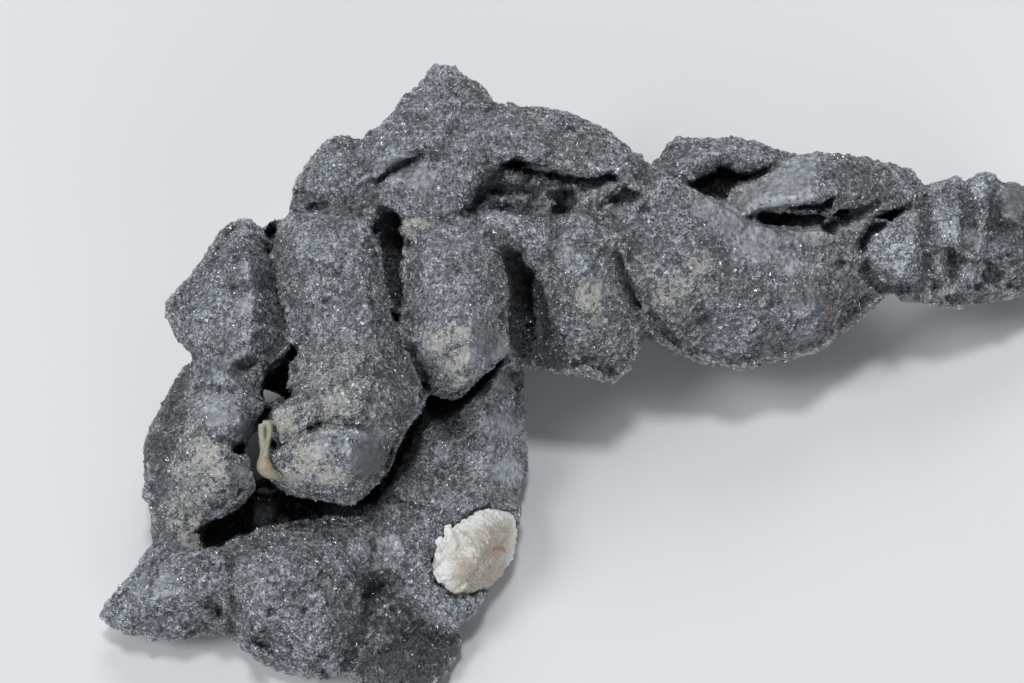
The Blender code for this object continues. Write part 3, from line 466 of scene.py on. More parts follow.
        [(14.4, 8.4), (18, 7.4, -10.8), (22, 7.8, -10), (25.6, 4.6, -12.2), (31, 3.6, -13.2),
         (37.4, 3.4, -15.2), (42, 2)],
        [(22, 7.8), (21, 12), (22, 19.4)],
        [(18, 7.4), (20.4, 2.6, -12), (25.6, 4.6)],
        [(37.4, 3.4), (38.4, 8.6), (38.6, 14.2)],
        [(31, 3.6), (33, 9.6), (32.4, 14.4)],
        [(28, -3.2), (29.4, 0, -14.8), (31, 3.6)],
    ]},
    "slab": {"outline": [
        (26.4, 17.7, -18.6), (27, 18.7, -19), (28, 19.5, -19.4), (29.8, 20.4, -20), (32, 21.5, -20.6),
        (34.2, 22.9, -21.4), (36, 23.3, -22), (38, 23.6, -22.4), (41, 23.1, -23.4), (44, 22.4, -24.6),
        (48, 21.5, -26), (50, 20.8, -26.8), (51.6, 20.2, -27), (51.9, 19.2, -25.6), (51, 17.9, -23.6),
        (48.6, 17.4, -22), (46.4, 17.8, -21), (44, 17.6, -19.8), (42, 17.5, -18.8), (39.8, 17.7, -17.6),
        (38, 16.9, -16.8), (36, 16.6, -16.6), (34, 16.4, -16.6), (32, 16.3, -16.8), (30.6, 15.7, -17),
        (28.6, 16.2, -17.8),
    ], "crests": [
        [(38, 23.6), (37.8, 20.4, -17.6), (37.6, 18.4, -16.2), (38, 16.9)],
        [(28.6, 16.2), (31, 17.6, -16.6), (37.6, 18.4), (42, 18.6, -17.4), (46.4, 17.8)],
    ]},
    "diamond": {"outline": [
        (44, 10.1, -21.5), (44.4, 12.2, -21.6), (46, 14, -21.4), (48, 15.6, -21.2), (49.6, 16.6, -21.4),
        (50.3, 16.3, -21.2), (51.6, 13.4, -22.4), (51.9, 10, -22.6), (51.4, 7.2, -23.4), (50.4, 6.1, -24.4),
        (48, 5.9, -25), (46.4, 6.3, -25), (45, 7.8, -24.4), (44.2, 9.4, -23),
    ], "crests": [
        [(44, 10.1), (46.2, 9.2, -18.4), (48.6, 8.1, -16.8), (50.2, 8.2, -17.6), (50.3, 12, -17.4),
         (50.3, 14, -18.6), (50.3, 16.3)],
        [(48.6, 8.1), (48, 5.9)],
        [(50.2, 8.2), (51.4, 7.2)],
    ]},
    "bandHigh": {"outline": [
        (52.1, 19.6, -26), (54, 20.1, -26.5), (56, 20.1, -26.5), (56, 16, -21.4), (55.9, 12, -19.6),
        (54.6, 11.6, -20), (53.2, 12, -20), (52.2, 12.5, -21.5), (52.2, 16, -22.5),
    ], "crests": [
        [(53.6, 12, -19), (53.8, 15.6, -20), (54, 20.1)],
    ]},
    "bandDark": {"outline": [
        (56.2, 20.2, -27.5), (57, 20.6, -27.5), (57.6, 18, -25.6), (58, 15.6, -24.6), (58.3, 14.2, -24),
        (58.6, 12, -23.8), (57.6, 10.8, -23.4), (56.4, 10.8, -23.4), (56.2, 12, -23.4), (56.2, 16, -24.6),
    ]},
    "stubRidge": {"outline": [
        (57, 20.6, -27), (58.8, 21, -27), (59.9, 20.4, -27.4), (59.6, 18, -26), (59.3, 16, -25.6),
        (58.4, 14.2, -24.4), (57.9, 15.6, -24.6), (57.5, 18, -25.6),
    ], "crests": [
        [(58.8, 21), (58.7, 18, -22.4), (58.7, 16, -22), (58.4, 14.2)],
    ]},
    "stubTop": {"outline": [
        (60.2, 19.6, -28), (62, 19.7, -28), (64, 18.8, -29.5), (66, 17.4, -32), (66, 14.6, -29.5),
        (63.4, 14.9, -26.6), (61.2, 14.8, -26.4), (60.5, 16, -26.6),
    ], "crests": [
        [(60.5, 16), (61.6, 17.4, -23.8), (64, 16.6, -25.6), (66, 16, -29.4)],
    ]},
    "stubLow": {"outline": [
        (59, 12.2, -24.8), (60, 13.6, -25.6), (62, 14.2, -26.4), (64, 14.2, -27.6), (66, 13.8, -30.5),
        (66, 7, -31), (63, 6.3, -29), (61.6, 6.8, -28), (61.1, 8.2, -27), (60.4, 9.2, -26),
        (59.4, 10.4, -25),
    ], "crests": [
        [(60, 13.6), (61.4, 11.4, -22.6), (62.2, 8.6, -23.6), (63, 6.3)],
        [(61.4, 11.4), (66, 10.6, -28)],
    ]},
    "bandLow": {"outline": [
        (52.4, 12.2, -21.6), (54, 11.8, -21.4), (54.1, 9.6, -21.4), (53.9, 6.3, -23.4), (52.3, 6, -24.4),
        (52.2, 9, -22.4),
    ], "crests": [
        [(53.2, 12, -20.4), (53.2, 9, -19.4), (53.1, 6.2, -23.4)],
    ]},
    "stubKnob": {"outline": [
        (56, 9.6, -23), (57.4, 10.4, -24), (58.8, 9.8, -24.6), (59, 8.8, -24.8), (58.4, 7.8, -24.6),
        (59.6, 7, -25.4), (59.3, 5.9, -26), (57.6, 6.4, -25), (56.2, 6.5, -24), (55.2, 7.4, -23.4),
    ], "crests": [
        [(56, 9.6), (57, 8, -20.6), (58.4, 7.8)],
    ]},
    "stubBase": {"outline": [
        (54, 5.9, -25), (56, 6.2, -25.4), (58, 6.1, -26), (60, 6, -27), (61.4, 5.4, -28.4), (60, 4.8, -29),
        (57.4, 4.3, -29), (55, 4.5, -28.4), (54.1, 5.2, -27),
    ], "crests": [
        [(54.6, 5.5, -24), (57.6, 5.4, -24), (60, 5.4, -25.4)],
    ]},
    "backRidge": {"outline": [
        (18.8, 23.3, -21.5), (19.3, 24.6, -22), (20.2, 25.1, -22), (22, 24.8, -22), (24, 25, -22),
        (26, 25.4, -22), (28.4, 25.6, -22.4), (30, 24.8, -22.8), (33, 23.9, -23.4), (36, 23.2, -23.4),
        (34.2, 22.9, -22.6), (33, 22.2, -21.6), (31, 21.2, -21), (28.6, 20.9, -20.4), (26.8, 21.9, -19.6),
        (24, 20.7, -18.6), (22.3, 19.6, -18.4), (20.6, 20.6, -18),
    ], "crests": [
        [(20.6, 20.6), (22, 22, -16.6), (24, 23.2, -17.4), (26.6, 23.8, -18.4), (28.4, 25.6)],
        [(26.6, 23.8), (30, 22.8, -18.8), (33, 22.2)],
    ]},
    "wallRib": {"outline": [
        (40.2, 15.2, -21), (41.4, 16.2, -21), (43, 16.5, -21), (45, 16.8, -20.8), (46.6, 17.7, -20.6),
        (48.6, 17.2, -21.6), (50.4, 17.6, -22.8), (49.4, 17, -22), (48, 16.5, -21.2), (46.4, 15.8, -20.4),
        (45.2, 15.3, -20), (43, 15.3, -20.2), (41.4, 14.8, -20.6),
    ]},
}

# Hollows are dug straight in: how far towards the eye the floor lies, the width of the wall, both in mm,
# how strongly painted shade darkens the inside, and the outline.
hollows = {
    "leftSlit": (-17, 0.5, 1.0, [
        (-16.4, 16.6), (-15.2, 16.3), (-13.5, 15.4), (-14.5, 14.1), (-12.8, 12.3), (-13.9, 10.6),
        (-14.2, 8), (-13.6, 5.5), (-14.1, 3), (-14.5, 2.2), (-15.1, 4.5), (-15.5, 7), (-16, 9.4),
        (-16.5, 12), (-17.5, 14),
    ]),
    "lobeNotch": (-24, 0.4, 1.0, [
        (-30.9, 15.6), (-29, 15.6), (-29.4, 14), (-29.9, 12.4), (-30.5, 10.8), (-30.7, 12.4), (-30.8, 14),
    ]),
    "rightSlit": (-19, 0.6, 1.0, [
        (-1.5, 11.6), (-0.5, 11.7), (0.9, 10.9), (1.7, 9.2), (2.5, 6.5), (3, 3.6), (2.6, 0), (1.6, -2.6),
        (0.3, -1.4), (-0.5, 1), (-1.3, 3.2), (-0.2, 5), (-0.2, 8), (-1, 10),
    ]),
    "rightSlitWall": (-13.5, 1.6, 1.0, [
        (1.2, 8.6), (3.6, 8), (4.8, 4), (5.4, 1), (4.4, -1.6), (1.8, -2.8), (2.2, 2), (1.8, 6),
    ]),
    "lobeGap": (-16, 0.5, 1.0, [
        (-27.5, -0.6), (-26.9, -1.4), (-27.4, -2.6), (-27, -3.8), (-27.8, -5.4), (-27.3, -6.8), (-29, -7.9),
        (-30, -8.6), (-30.7, -8.6), (-31.5, -7), (-30.8, -5.4), (-29.4, -4), (-29.3, -2.6), (-28.2, -1.8),
    ]),
    "strandGap": (-8, 0.4, 1.0, [
        (-30.8, -8.8), (-30.3, -8.8), (-30.2, -10.2), (-30.1, -11.6), (-29.2, -13.1), (-29.8, -13.8),
        (-31, -13), (-32.2, -13), (-34, -14), (-35, -13.5), (-33.4, -12.6), (-32, -11), (-31.6, -9.4),
    ]),
    "cavity": (-17, 0.8, 1.0, [
        (-38.8, -23.2), (-37.2, -22.2), (-35, -21), (-33, -19.2), (-32.1, -17.4), (-31.9, -16.2),
        (-30.6, -17), (-29.6, -17.2), (-28.4, -18.5), (-27, -19.1), (-23.6, -19.1), (-21.6, -19.9),
        (-20, -20.1), (-17.4, -18.5), (-16, -16.6), (-15.3, -13.6), (-14, -11.6), (-12, -9.8),
        (-10.8, -8.6), (-11.4, -10.6), (-13, -13.4), (-14.2, -15.6), (-15.4, -18), (-17, -20.2),
        (-18.6, -21.6), (-21.6, -22.6), (-24, -22.8), (-28, -23.2), (-31, -24), (-34, -24.2),
        (-36.6, -25.6), (-38.4, -25.6),
    ]),
    "underWedge": (-20, 0.7, 1.0, [
        (-11.4, -6.4), (-9.4, -6.3), (-7.6, -6.4), (-6.2, -5.9), (-3.8, -4.1), (-0.8, -1.7), (-2.2, -4),
        (-4.4, -6.4), (-7, -8.6), (-9.6, -9.4), (-11, -8.4),
    ]),
    "footHole": (-4.5, 1.4, 0.5, [
        (-17.8, -29.6), (-16.2, -29.2), (-14.6, -30.2), (-13.9, -31.6), (-12.4, -33), (-13.6, -33.4),
        (-15.4, -32.6), (-17, -31.6),
    ]),
    "brow": (-14, 1.4, 0.25, [
        (-6.4, 15.9), (-5.4, 17.6), (-4.4, 19.6), (-2.2, 21.6), (-0.2, 22.8), (1.6, 22.1), (3.9, 22),
        (6, 20.9), (8, 20.3), (10.5, 20.1), (12.4, 20.9), (12.8, 20.3), (11, 19.5), (8.6, 19.5), (7, 19.2),
        (7.2, 17.6), (6.9, 16.4), (5.8, 15), (4.6, 15.7), (3, 16.8), (1, 17.5), (-1, 17.2), (-3, 16.4),
        (-4.6, 15.4),
    ]),
    "browLine": (-18, 0.5, 0.9, [
        (-1.2, 22.1), (0.4, 23), (2, 22.3), (4, 21.9), (6, 21.1), (8, 20.5), (10.4, 20.3), (12.4, 21),
        (13, 20.4), (10.8, 19.5), (8.4, 19.5), (6, 20.1), (4, 20.7), (2, 21), (0.6, 21.4),
    ]),
    "browPit": (-16.5, 0.5, 0.8, [
        (4.6, 18.6), (6, 19.1), (7.6, 18.8), (8.2, 17.4), (7.4, 16), (6, 15.6), (5, 16.2), (5.6, 17.3),
    ]),
    "browFold": (-15.5, 0.6, 0.7, [
        (-4, 18.6), (-2.4, 19.4), (-0.6, 19.8), (1.4, 19.3), (3.6, 19), (3.4, 18.3), (1.2, 18.5),
        (-0.8, 18.8), (-2.6, 18), (-4.4, 17),
    ]),
    "browHole": (-15.5, 0.6, 0.7, [
        (11.8, 17.6), (13.2, 18.4), (14, 19.4), (14.7, 18.9), (15.6, 18.9), (16.4, 18.2), (14.6, 17.2),
        (13, 17),
    ]),
    "slotAbove": (-28, 0.5, 1.0, [
        (22.3, 19.5), (24, 20.7), (25.6, 21.8), (26.8, 21.9), (27.6, 21.3), (28.6, 20.9), (30, 21),
        (31.2, 21.3), (33, 22), (31, 20.7), (29.4, 20), (28, 19.7), (27, 19.9), (25.6, 20.2), (24.4, 20),
        (23.4, 19.3),
    ]),
    "slotWall": (-22.5, 1.2, 0.3, [
        (23.2, 19.2), (24.6, 20.4), (27, 20.2), (28.6, 19.9), (27.4, 19), (26.6, 18.2), (25, 18.2),
    ]),
    "slotBelow": (-21, 0.3, 0.8, [
        (29.6, 15.6), (31, 16), (32.6, 16.4), (34.4, 16.6), (36, 16.8), (38.4, 17.2), (40, 17.7),
        (39.6, 16.4), (38.2, 15.5), (37.2, 14.7), (35.6, 14.2), (33.8, 14.2), (32, 14.7), (30.6, 15.1),
    ]),
    "slotRight": (-21.6, 0.3, 0.8, [
        (38.4, 14.7), (40, 15.4), (41.4, 16.4), (43, 16.8), (45, 17), (46.4, 17.9), (45.8, 17),
        (44.8, 16.5), (43, 15.6), (42.2, 14.8), (40.6, 14.3), (40, 13.3), (39.2, 13.9),
    ]),
    "slotStep": (-23.6, 0.25, 0.8, [
        (43.9, 11), (43.3, 12.2), (44, 13.4), (45.2, 15), (46.4, 15.6), (48, 16.4), (49.4, 16.9),
        (51, 17.7), (50.2, 16.7), (48.6, 16), (47, 15), (45.6, 13.8), (44.6, 12.8), (44.1, 11.8),
    ]),
    "diamondSide": (-23.4, 0.3, 0.6, [
        (43.9, 10), (43.6, 8.8), (44.4, 7.4), (46, 6.1), (46.8, 5.9), (45.4, 7.6), (44.4, 9.2),
    ]),
    "stubDark": (-23.6, 0.5, 0.7, [
        (54.2, 11.6), (54.9, 11.8), (55.6, 10.7), (56.8, 10.6), (57, 10.1), (56, 9.5), (55.4, 8.2), (55, 7),
        (54.3, 8.6),
    ]),
    "stubCleft": (-26.5, 0.4, 0.7, [
        (59.3, 10.2), (60.5, 9.1), (61.2, 8.1), (60.6, 7), (59.4, 7.2), (58.6, 8), (59, 8.8),
    ]),
    "stubGap": (-26.6, 0.4, 0.6, [
        (59.6, 19.6), (60.4, 19), (60.5, 16.2), (61.1, 15), (62.4, 15), (61.6, 14.2), (60, 13.8),
        (59.2, 14.2), (59.6, 16),
    ]),
}

# Strokes follow a path. A crack has a width, a depth and a lip: how sharply its left side breaks off.
# A ridge has a width and a height. A ledge lifts what lies to the left of its path, by a height that fades
# over a distance.
cracks = {
    "arch": (
        [(-17.6, 19.5), (-16.6, 20.3), (-15.6, 21.4), (-13.6, 22.5), (-12, 23.2), (-10.6, 23.7)],
        0.5, 3.2, 0.8,
    ),
    "archEnd": ([(-10.6, 23.7), (-9, 23.1), (-8, 23.3)], 0.5, 0.6, 0.5),
    "boulder": (
        [(-30, -12.6), (-28.6, -12.6), (-27.2, -12), (-25.6, -11), (-24.2, -10.3), (-22.8, -10.1)],
        0.45, 2.6, 0.8,
    ),
    "footValley": ([(-17.6, -31), (-18.4, -34), (-19.6, -37.5), (-20.4, -40.5)], 1.3, 1.8, 0.3),
    "lobeSeam": ([(-30.6, 11.4), (-30.1, 8.6), (-29.7, 6), (-28.8, 3.4), (-28, 1)], 0.6, 1.8, 0.3),
    "leftLobe": ([(-38, -5.2), (-36.4, -4.6), (-34.6, -3.4), (-32, -2)], 1.1, 1.6, 0.3),
    "lobeFlank": ([(-31.2, 12.2), (-31.6, 10.4), (-30.6, 9.2)], 0.6, 1.0, 0.2),
    "footGap": ([(-38.4, -31.8), (-36.8, -33.2), (-35.2, -34.8), (-34.4, -36.6)], 0.9, 2.2, 0.3),
    "smallLobe": ([(7.8, 4.3), (8.6, 3.6), (9.6, 3.2), (10.6, 3.3), (11.7, 3.9)], 0.4, 1.2, 0.7),
    "lobeGroove": ([(12.8, 11.6), (13.6, 9.6), (13.9, 7.6), (14.8, 5.6), (16, 3.6)], 0.8, 2.6, 0.2),
    "tailFoot": (
        [(16.6, 4.4), (18.2, 3.2), (19.4, 1.8), (21, -0.4), (24, -1.6), (26.6, -2.6)], 0.4, 2.2, 0.8,
    ),
    "hood": ([(-26.4, 19.2), (-25.4, 18.2), (-24, 17.6), (-22.8, 18.2)], 0.8, 1.5, 0.4),
    "hoodStep": ([(-14, 28.5), (-11.6, 28.2), (-9, 27.7), (-6, 27.6)], 0.4, 0.5, 0.7),
    "neck": ([(52, 18.8), (52.1, 14), (52.1, 9), (51.8, 6.4)], 0.4, 2.0, 0.4),
    "tailEdge": ([(25.8, 17.6), (27.4, 16.8), (28.6, 16), (30, 15.3)], 0.35, 1.8, 0.7),
    "tailPlate": ([(40.6, 9.7), (41.2, 10.4), (41.8, 9.4)], 0.35, 0.9, 0.3),
    "peak": ([(-11, 33.4), (-10.4, 32.6), (-9.2, 32.2), (-7.8, 31.8)], 0.4, 0.5, 0.4),
}
ridges = {
    "boulderEdge": ([(-20.3, -11.8), (-20.2, -15), (-20.5, -18.4)], 0.35, 0.35),
    "creamSpur": ([(-14.2, 14.1), (-12.6, 14.4), (-11, 14.2)], 0.9, 1.0),
    "lobeSpur": ([(8.4, 1.2), (9, 2.4), (11.2, 2.8)], 0.5, 0.7),
}
ledges = {
    "hoodUpper": ([(-2.4, 30.2), (-6, 30.5), (-11, 30.2), (-14.4, 29)], 0.5, 2.0),
    "hoodLower": ([(8, 27.6), (2, 28), (-3, 28.4), (-8, 28.1), (-14, 27.2)], 0.4, 2.0),
    "middleTop": ([(-17.4, 16.3), (-20, 16.7), (-23, 17), (-26, 16.5), (-28, 15.9)], -0.9, 1.6),
    "lobeStepHigh": ([(-20.4, 9.2), (-22.4, 9.5), (-25, 10), (-29.4, 10.2)], -0.9, 1.8),
    "lobeStepLow": ([(-22, 5.4), (-25, 5), (-28.6, 5.4)], -0.5, 1.6),
    "crumbStep": ([(-18.4, -9.2), (-20.4, -9.6), (-23, -9.4), (-25, -8.8)], -0.6, 1.4),
    "cheek": ([(4.6, 15.4), (3, 16.5), (0.6, 17.2), (-2, 16.8), (-4.4, 15.6)], -0.8, 2.0),
    "tailPlates": ([(37.6, 14), (39.6, 13.2), (41.4, 11.2), (41.8, 9.4)], 0.7, 1.2),
}
# Lumps stand out by their height, pits sink by it: (right, up, radius, height), all in mm.
lumps = [
    (0.1, 20.7, 1.7, 2.8), (3.1, 20.2, 1.1, 2.0), (-1.6, 17.8, 1.0, 1.4), (5.6, 18.8, 1.2, 1.6),
    (-3.2, 18.2, 0.8, 1.2), (1.6, 17.9, 0.8, 0.9), (12.6, 18.1, 0.6, -1.6), (11.3, 16.9, 0.6, -1.1),
    (13.4, 16.9, 0.5, -0.9), (16.6, 16.6, 0.8, -1.0), (5.6, 13.5, 0.65, -1.3), (11.8, 11.5, 0.6, -0.9),
    (8.6, 11.9, 0.4, -0.6), (10.2, 9.2, 0.5, -0.5), (-34.7, 6.7, 0.6, -0.9), (-38.8, 2.1, 0.7, -0.7),
    (-40, 4.0, 0.6, -0.6), (-36.2, -18.4, 0.8, -1.2), (-37.5, 8.6, 0.5, -0.5), (-35.6, 1.0, 0.5, -0.4),
    (-34.3, -6.4, 0.5, -0.7), (-26.8, -0.6, 0.6, -1.4), (-33.2, -17.2, 1.2, 0.6), (-45.2, -19.3, 1.2, 1.6),
    (-44.6, -20.7, 0.7, -0.8), (-40.5, -24.6, 1.6, 1.2), (-39.4, -22.6, 1.1, 1.3), (-42, -22.6, 0.9, 0.7),
    (-21.4, -6.4, 1.1, 0.8), (-22, -8.3, 0.9, 0.7), (-19, -6.4, 0.8, 0.8), (-20.2, -8.4, 0.5, -0.7),
    (-24.4, -6.2, 0.8, 0.5), (-12.3, 14.3, 0.5, -0.8), (-8.8, -0.8, 0.5, -0.4), (-25.8, -14.6, 1.1, 0.4),
    (-26.2, -17, 1.0, 0.4), (-22.6, -16.8, 0.9, 0.5), (-23.8, -14.4, 0.8, 0.35), (-21, -18.6, 0.4, 0.5),
    (-28.6, -22.4, 0.9, 1.4), (-26.5, -20.4, 0.5, 1.2), (-31, -22, 0.8, 0.8), (21.4, 6.6, 2.2, 0.7),
    (24.4, 9, 1.2, 0.5), (18.2, 4.6, 0.9, 0.6), (23.4, 3.0, 1.6, -0.9), (26.6, 6.8, 0.9, -0.5),
    (29.6, 18.6, 1.0, -0.3), (33.6, 9.4, 1.3, -0.5), (38.2, 21.6, 0.5, -0.5), (35.4, 21.4, 0.4, -0.4),
    (17.2, 1.6, 0.9, 1.2), (29.6, 12.9, 0.4, -0.5), (40.9, 9.6, 0.6, -0.8), (46.2, 11.6, 0.4, -0.5),
    (48.6, 12.9, 0.5, -0.6), (46.8, 9.8, 0.4, -0.4), (-48.5, -34.8, 1.3, 0.7), (-45, -36.4, 1.1, 0.6),
    (-41, -36.6, 1.1, 0.6), (-43.4, -33.4, 1.4, 0.5), (-39, -33.6, 1.2, 0.6), (-49.4, -32.2, 1.0, 0.4),
    (-30.4, -31.4, 1.8, 1.2), (-25, -31.6, 1.6, 1.1), (-32, -36.4, 1.5, 1.2), (-24.6, -38, 1.8, 1.3),
    (-29, -38.6, 1.4, 1.2), (-22.4, -33, 1.2, -1.4), (-30, -34, 0.7, -1.3), (-26, -33.8, 0.7, -1.2),
    (-16, -37.4, 1.6, 1.2), (-17.8, -30.4, 2.0, -1.8), (-21.6, -28.4, 1.6, 0.9), (-27.6, -28.6, 1.5, 0.8),
    (-34, -31.6, 1.2, 0.8), (-12.4, -39.4, 1.6, 1.1), (-17.4, -40.6, 1.2, 0.5), (-15.2, -34.6, 1.0, 0.6),
    (-20.4, -40.2, 0.9, -1.6), (-8.6, -14.2, 1.0, 0.4), (-12, -18.4, 1.1, 0.5), (-7.4, -18.6, 1.3, 0.4),
    (-4.8, -19.4, 0.9, -0.4), (0.9, -15.2, 0.5, 0.4), (-24.6, 20.4, 1.2, 0.5), (-21, 21.4, 0.9, -0.5),
    (-18.6, 23.2, 0.9, 0.4), (-7, 26.6, 1.4, -0.4), (-3.6, 25.8, 1.0, 0.3), (5.0, 24.4, 1.4, 0.35),
    (9.8, 23.6, 1.3, -0.35), (12.6, 23.6, 1.0, 0.3), (-9.6, 33.4, 0.7, -0.4), (-4.6, 31.4, 0.6, -0.3),
]
carvingForm = {
    "reach": 7,  # mm, for a block that gives no reach of its own
    "letGo": 2,  # mm past its reach in which a facet gives way to the rock
    "blockEdge": 0.35,  # mm in which a block's facets come to their full height
    "wallTop": 0.4,  # mm outside an outline where a hollow's wall begins
    "wallFoot": 0.3,
    "clearOfFloor": 2.5,  # mm above the floor that no cut goes below
    "climb": (0.574, 0.819),  # mm of height in one mm up the show face, and in one towards the eye
    "fade": 0.12,  # share of its path over which a crack or a ledge dies out at each end
    "ridgeFade": 0.15,
    "ridgeSpread": 1.6,  # of its width
    "lipSide": 0.75,  # how much narrower a sharp lip makes the left side
    "ledgeBrow": 0.15,  # mm
    "lumpShape": 1.4,
    "pitShape": 0.8,
}


def sharpTent(distance, width):  # 1 on a line, falling straight to 0 at its width
    return np.clip(1 - distance / width, 0, 1)


def fading(share, run):  # 1 along a path, falling to 0 in this share of it at each end
    return smoothStep(0, run, share) * smoothStep(0, run, 1 - share)


def seesEye(piece):  # 1 for a point of the piece that nothing hides from the eye, 0 for the others
    bpy.context.view_layer.update()
    tree = BVHTree.FromObject(piece, bpy.context.evaluated_depsgraph_get())
    eye = placeOf(0, 0, showFace["distance"])
    points = pointsOf(piece)
    clear = np.zeros(len(points))
    for index in np.flatnonzero(normalsOf(piece) @ eyeAxes()[2] > -showFace["grazing"]):
        away = Vector(points[index]) - eye
        found = tree.ray_cast(eye, away.normalized())[3]
        clear[index] = found is None or found > away.length - showFace["skin"] * mm
    return clear


def facetHeights(spots, outline, crests):  # how far towards the eye the facets lie at each spot
    lines = [outline + outline[:1]] + crests
    known = {corner[:2]: corner for line in lines for corner in line if len(corner) == 3}
    lines = [[known[corner[:2]] for corner in line] for line in lines]
    corners = sorted(known.values())
    number = {corner: index for index, corner in enumerate(corners)}
    links = [(number[a], number[b]) for line in lines for a, b in zip(line, line[1:])]
    turn = sum(a[0] * b[1] - b[0] * a[1] for a, b in zip(outline, outline[1:] + outline[:1]))
    loop = [number[corner] for corner in (outline if turn > 0 else outline[::-1])]
    places = [Vector(corner[:2]) for corner in corners]
    withinOutline, tolerance, slack = 1, 1e-5, 1e-6
    flat, _, facets, sources, _, _ = delaunay_2d_cdt(places, links, [loop], withinOutline, tolerance)
    heights = [corners[found[0]][2] if found else math.nan for found in sources]
    crossings = [place for place, height in zip(flat, heights) if math.isnan(height)]
    if crossings:
        print("crests cross at", [tuple(round(x, 1) for x in place) for place in crossings])
    result = np.full(len(spots), np.nan)
    for a, b, c in facets:
        pa, pb, pc = (np.array(flat[i]) for i in (a, b, c))
        area = np.cross(pb - pa, pc - pa)
        shareB = np.cross(spots[:, :2] - pa, pc - pa) / area
        shareC = np.cross(pb - pa, spots[:, :2] - pa) / area
        within = (shareB >= -slack) & (shareC >= -slack) & (shareB + shareC <= 1 + slack)
        level = heights[a] + shareB * (heights[b] - heights[a]) + shareC * (heights[c] - heights[a])
        result[within] = level[within]
    return result


def lowestCut(seen):  # how far away from the eye a cut may go before it nears the floor
    up, towards = carvingForm["climb"]
    return (carvingForm["clearOfFloor"] - showFace["middle"][2] - up * seen[:, 1]) / towards


def carveBlocks(seen, front):
    for block in blocks.values():
        border = [corner[:2] for corner in block["outline"]]
        found = np.flatnonzero((front > 0) & insideOf(seen, border))
        spots = seen[found]
        rise = facetHeights(spots, block["outline"], block.get("crests", [])) - spots[:, 2]
        rise[np.isnan(rise)] = 0
        reach = block.get("reach", carvingForm["reach"])
        within = alongPath(spots, border + border[:1])[0]
        share = smoothStep(0, carvingForm["blockEdge"], within) * front[found]
        carved = spots[:, 2] + share * rise * smoothStep(reach + carvingForm["letGo"], reach, np.abs(rise))
        seen[found, 2] = np.maximum(carved, np.minimum(spots[:, 2], lowestCut(spots)))


def digHollows(seen, front):
    for floor, wall, _, outline in hollows.values():
        inward = inwardOf(seen, outline)
        share = smoothStep(-carvingForm["wallTop"], wall - carvingForm["wallFoot"], inward) * front
        seen[:, 2] += share * np.minimum(np.maximum(floor, lowestCut(seen)) - seen[:, 2], 0)


def workStrokes(seen, front):
    form = carvingForm
    lift = np.zeros(len(seen))
    for path, width, depth, lip in cracks.values():
        gap, side, share = alongPath(seen, path)
        reach = np.where(side > 0, width * (1 - form["lipSide"] * lip), width * (1 + lip))
        lift -= depth * fading(share, form["fade"]) * sharpTent(gap, reach)
    for path, width, height in ridges.values():
        gap, _, share = alongPath(seen, path)
        lift += height * fading(share, form["ridgeFade"]) * sharpTent(gap, width * form["ridgeSpread"])
    for path, height, reach in ledges.values():
        gap, side, share = alongPath(seen, path)
        leftOf = smoothStep(-form["ledgeBrow"], form["ledgeBrow"], side * gap)
        lift += height * fading(share, form["fade"]) * leftOf * sharpTent(gap, reach)
    for u, v, radius, height in lumps:
        gap = np.hypot(seen[:, 0] - u, seen[:, 1] - v) / radius
        lift += height * np.clip(1 - gap * gap, 0, 1) ** form["lumpShape" if height > 0 else "pitShape"]
    seen[:, 2] += lift * front


def carve(piece):
    for work in (carveBlocks, digHollows, workStrokes):
        seen = seenAt(pointsOf(piece))
        work(seen, seesEye(piece))
        movePoints(piece, placesOf(seen))


def paintGroup(piece, name, amounts):  # in tenths
    group = piece.vertex_groups.new(name=name)
    for level in range(1, 11):
        chosen = np.flatnonzero(np.round(amounts * 10) == level)
        group.add(chosen.tolist(), level / 10, "REPLACE")


def makeMass():
    mass = copyOfNode("hematite_mass", "hematiteMass")
    fuse(mass, massForm["voxels"][0])
    soften(mass, massForm["softening"])
    applyModifiers(mass)
    carve(mass)
    fuse(mass, massForm["voxels"][1])
    applyModifiers(mass)
    seen = seenAt(pointsOf(mass))
    facing = facingEye(mass, massForm["facingFrom"])
    smooth = spotAmounts(seen, patches["smooth"])
    paintGroup(mass, "crumbly", spotAmounts(seen, patches["crumbly"]))
    paintGroup(mass, "open", 1 - massForm["smoothShare"] * facing * smooth)
    paintGroup(mass, "givesWay", 1 - facing * massForm["backShare"])
    roughen(mass, massForm["roughness"])
    applyModifiers(mass)
    thinTo(mass, massForm["triangles"], "givesWay")
    mass.vertex_groups.clear()
    restOnGround(mass)
    keepOneBody(mass)
    return mass
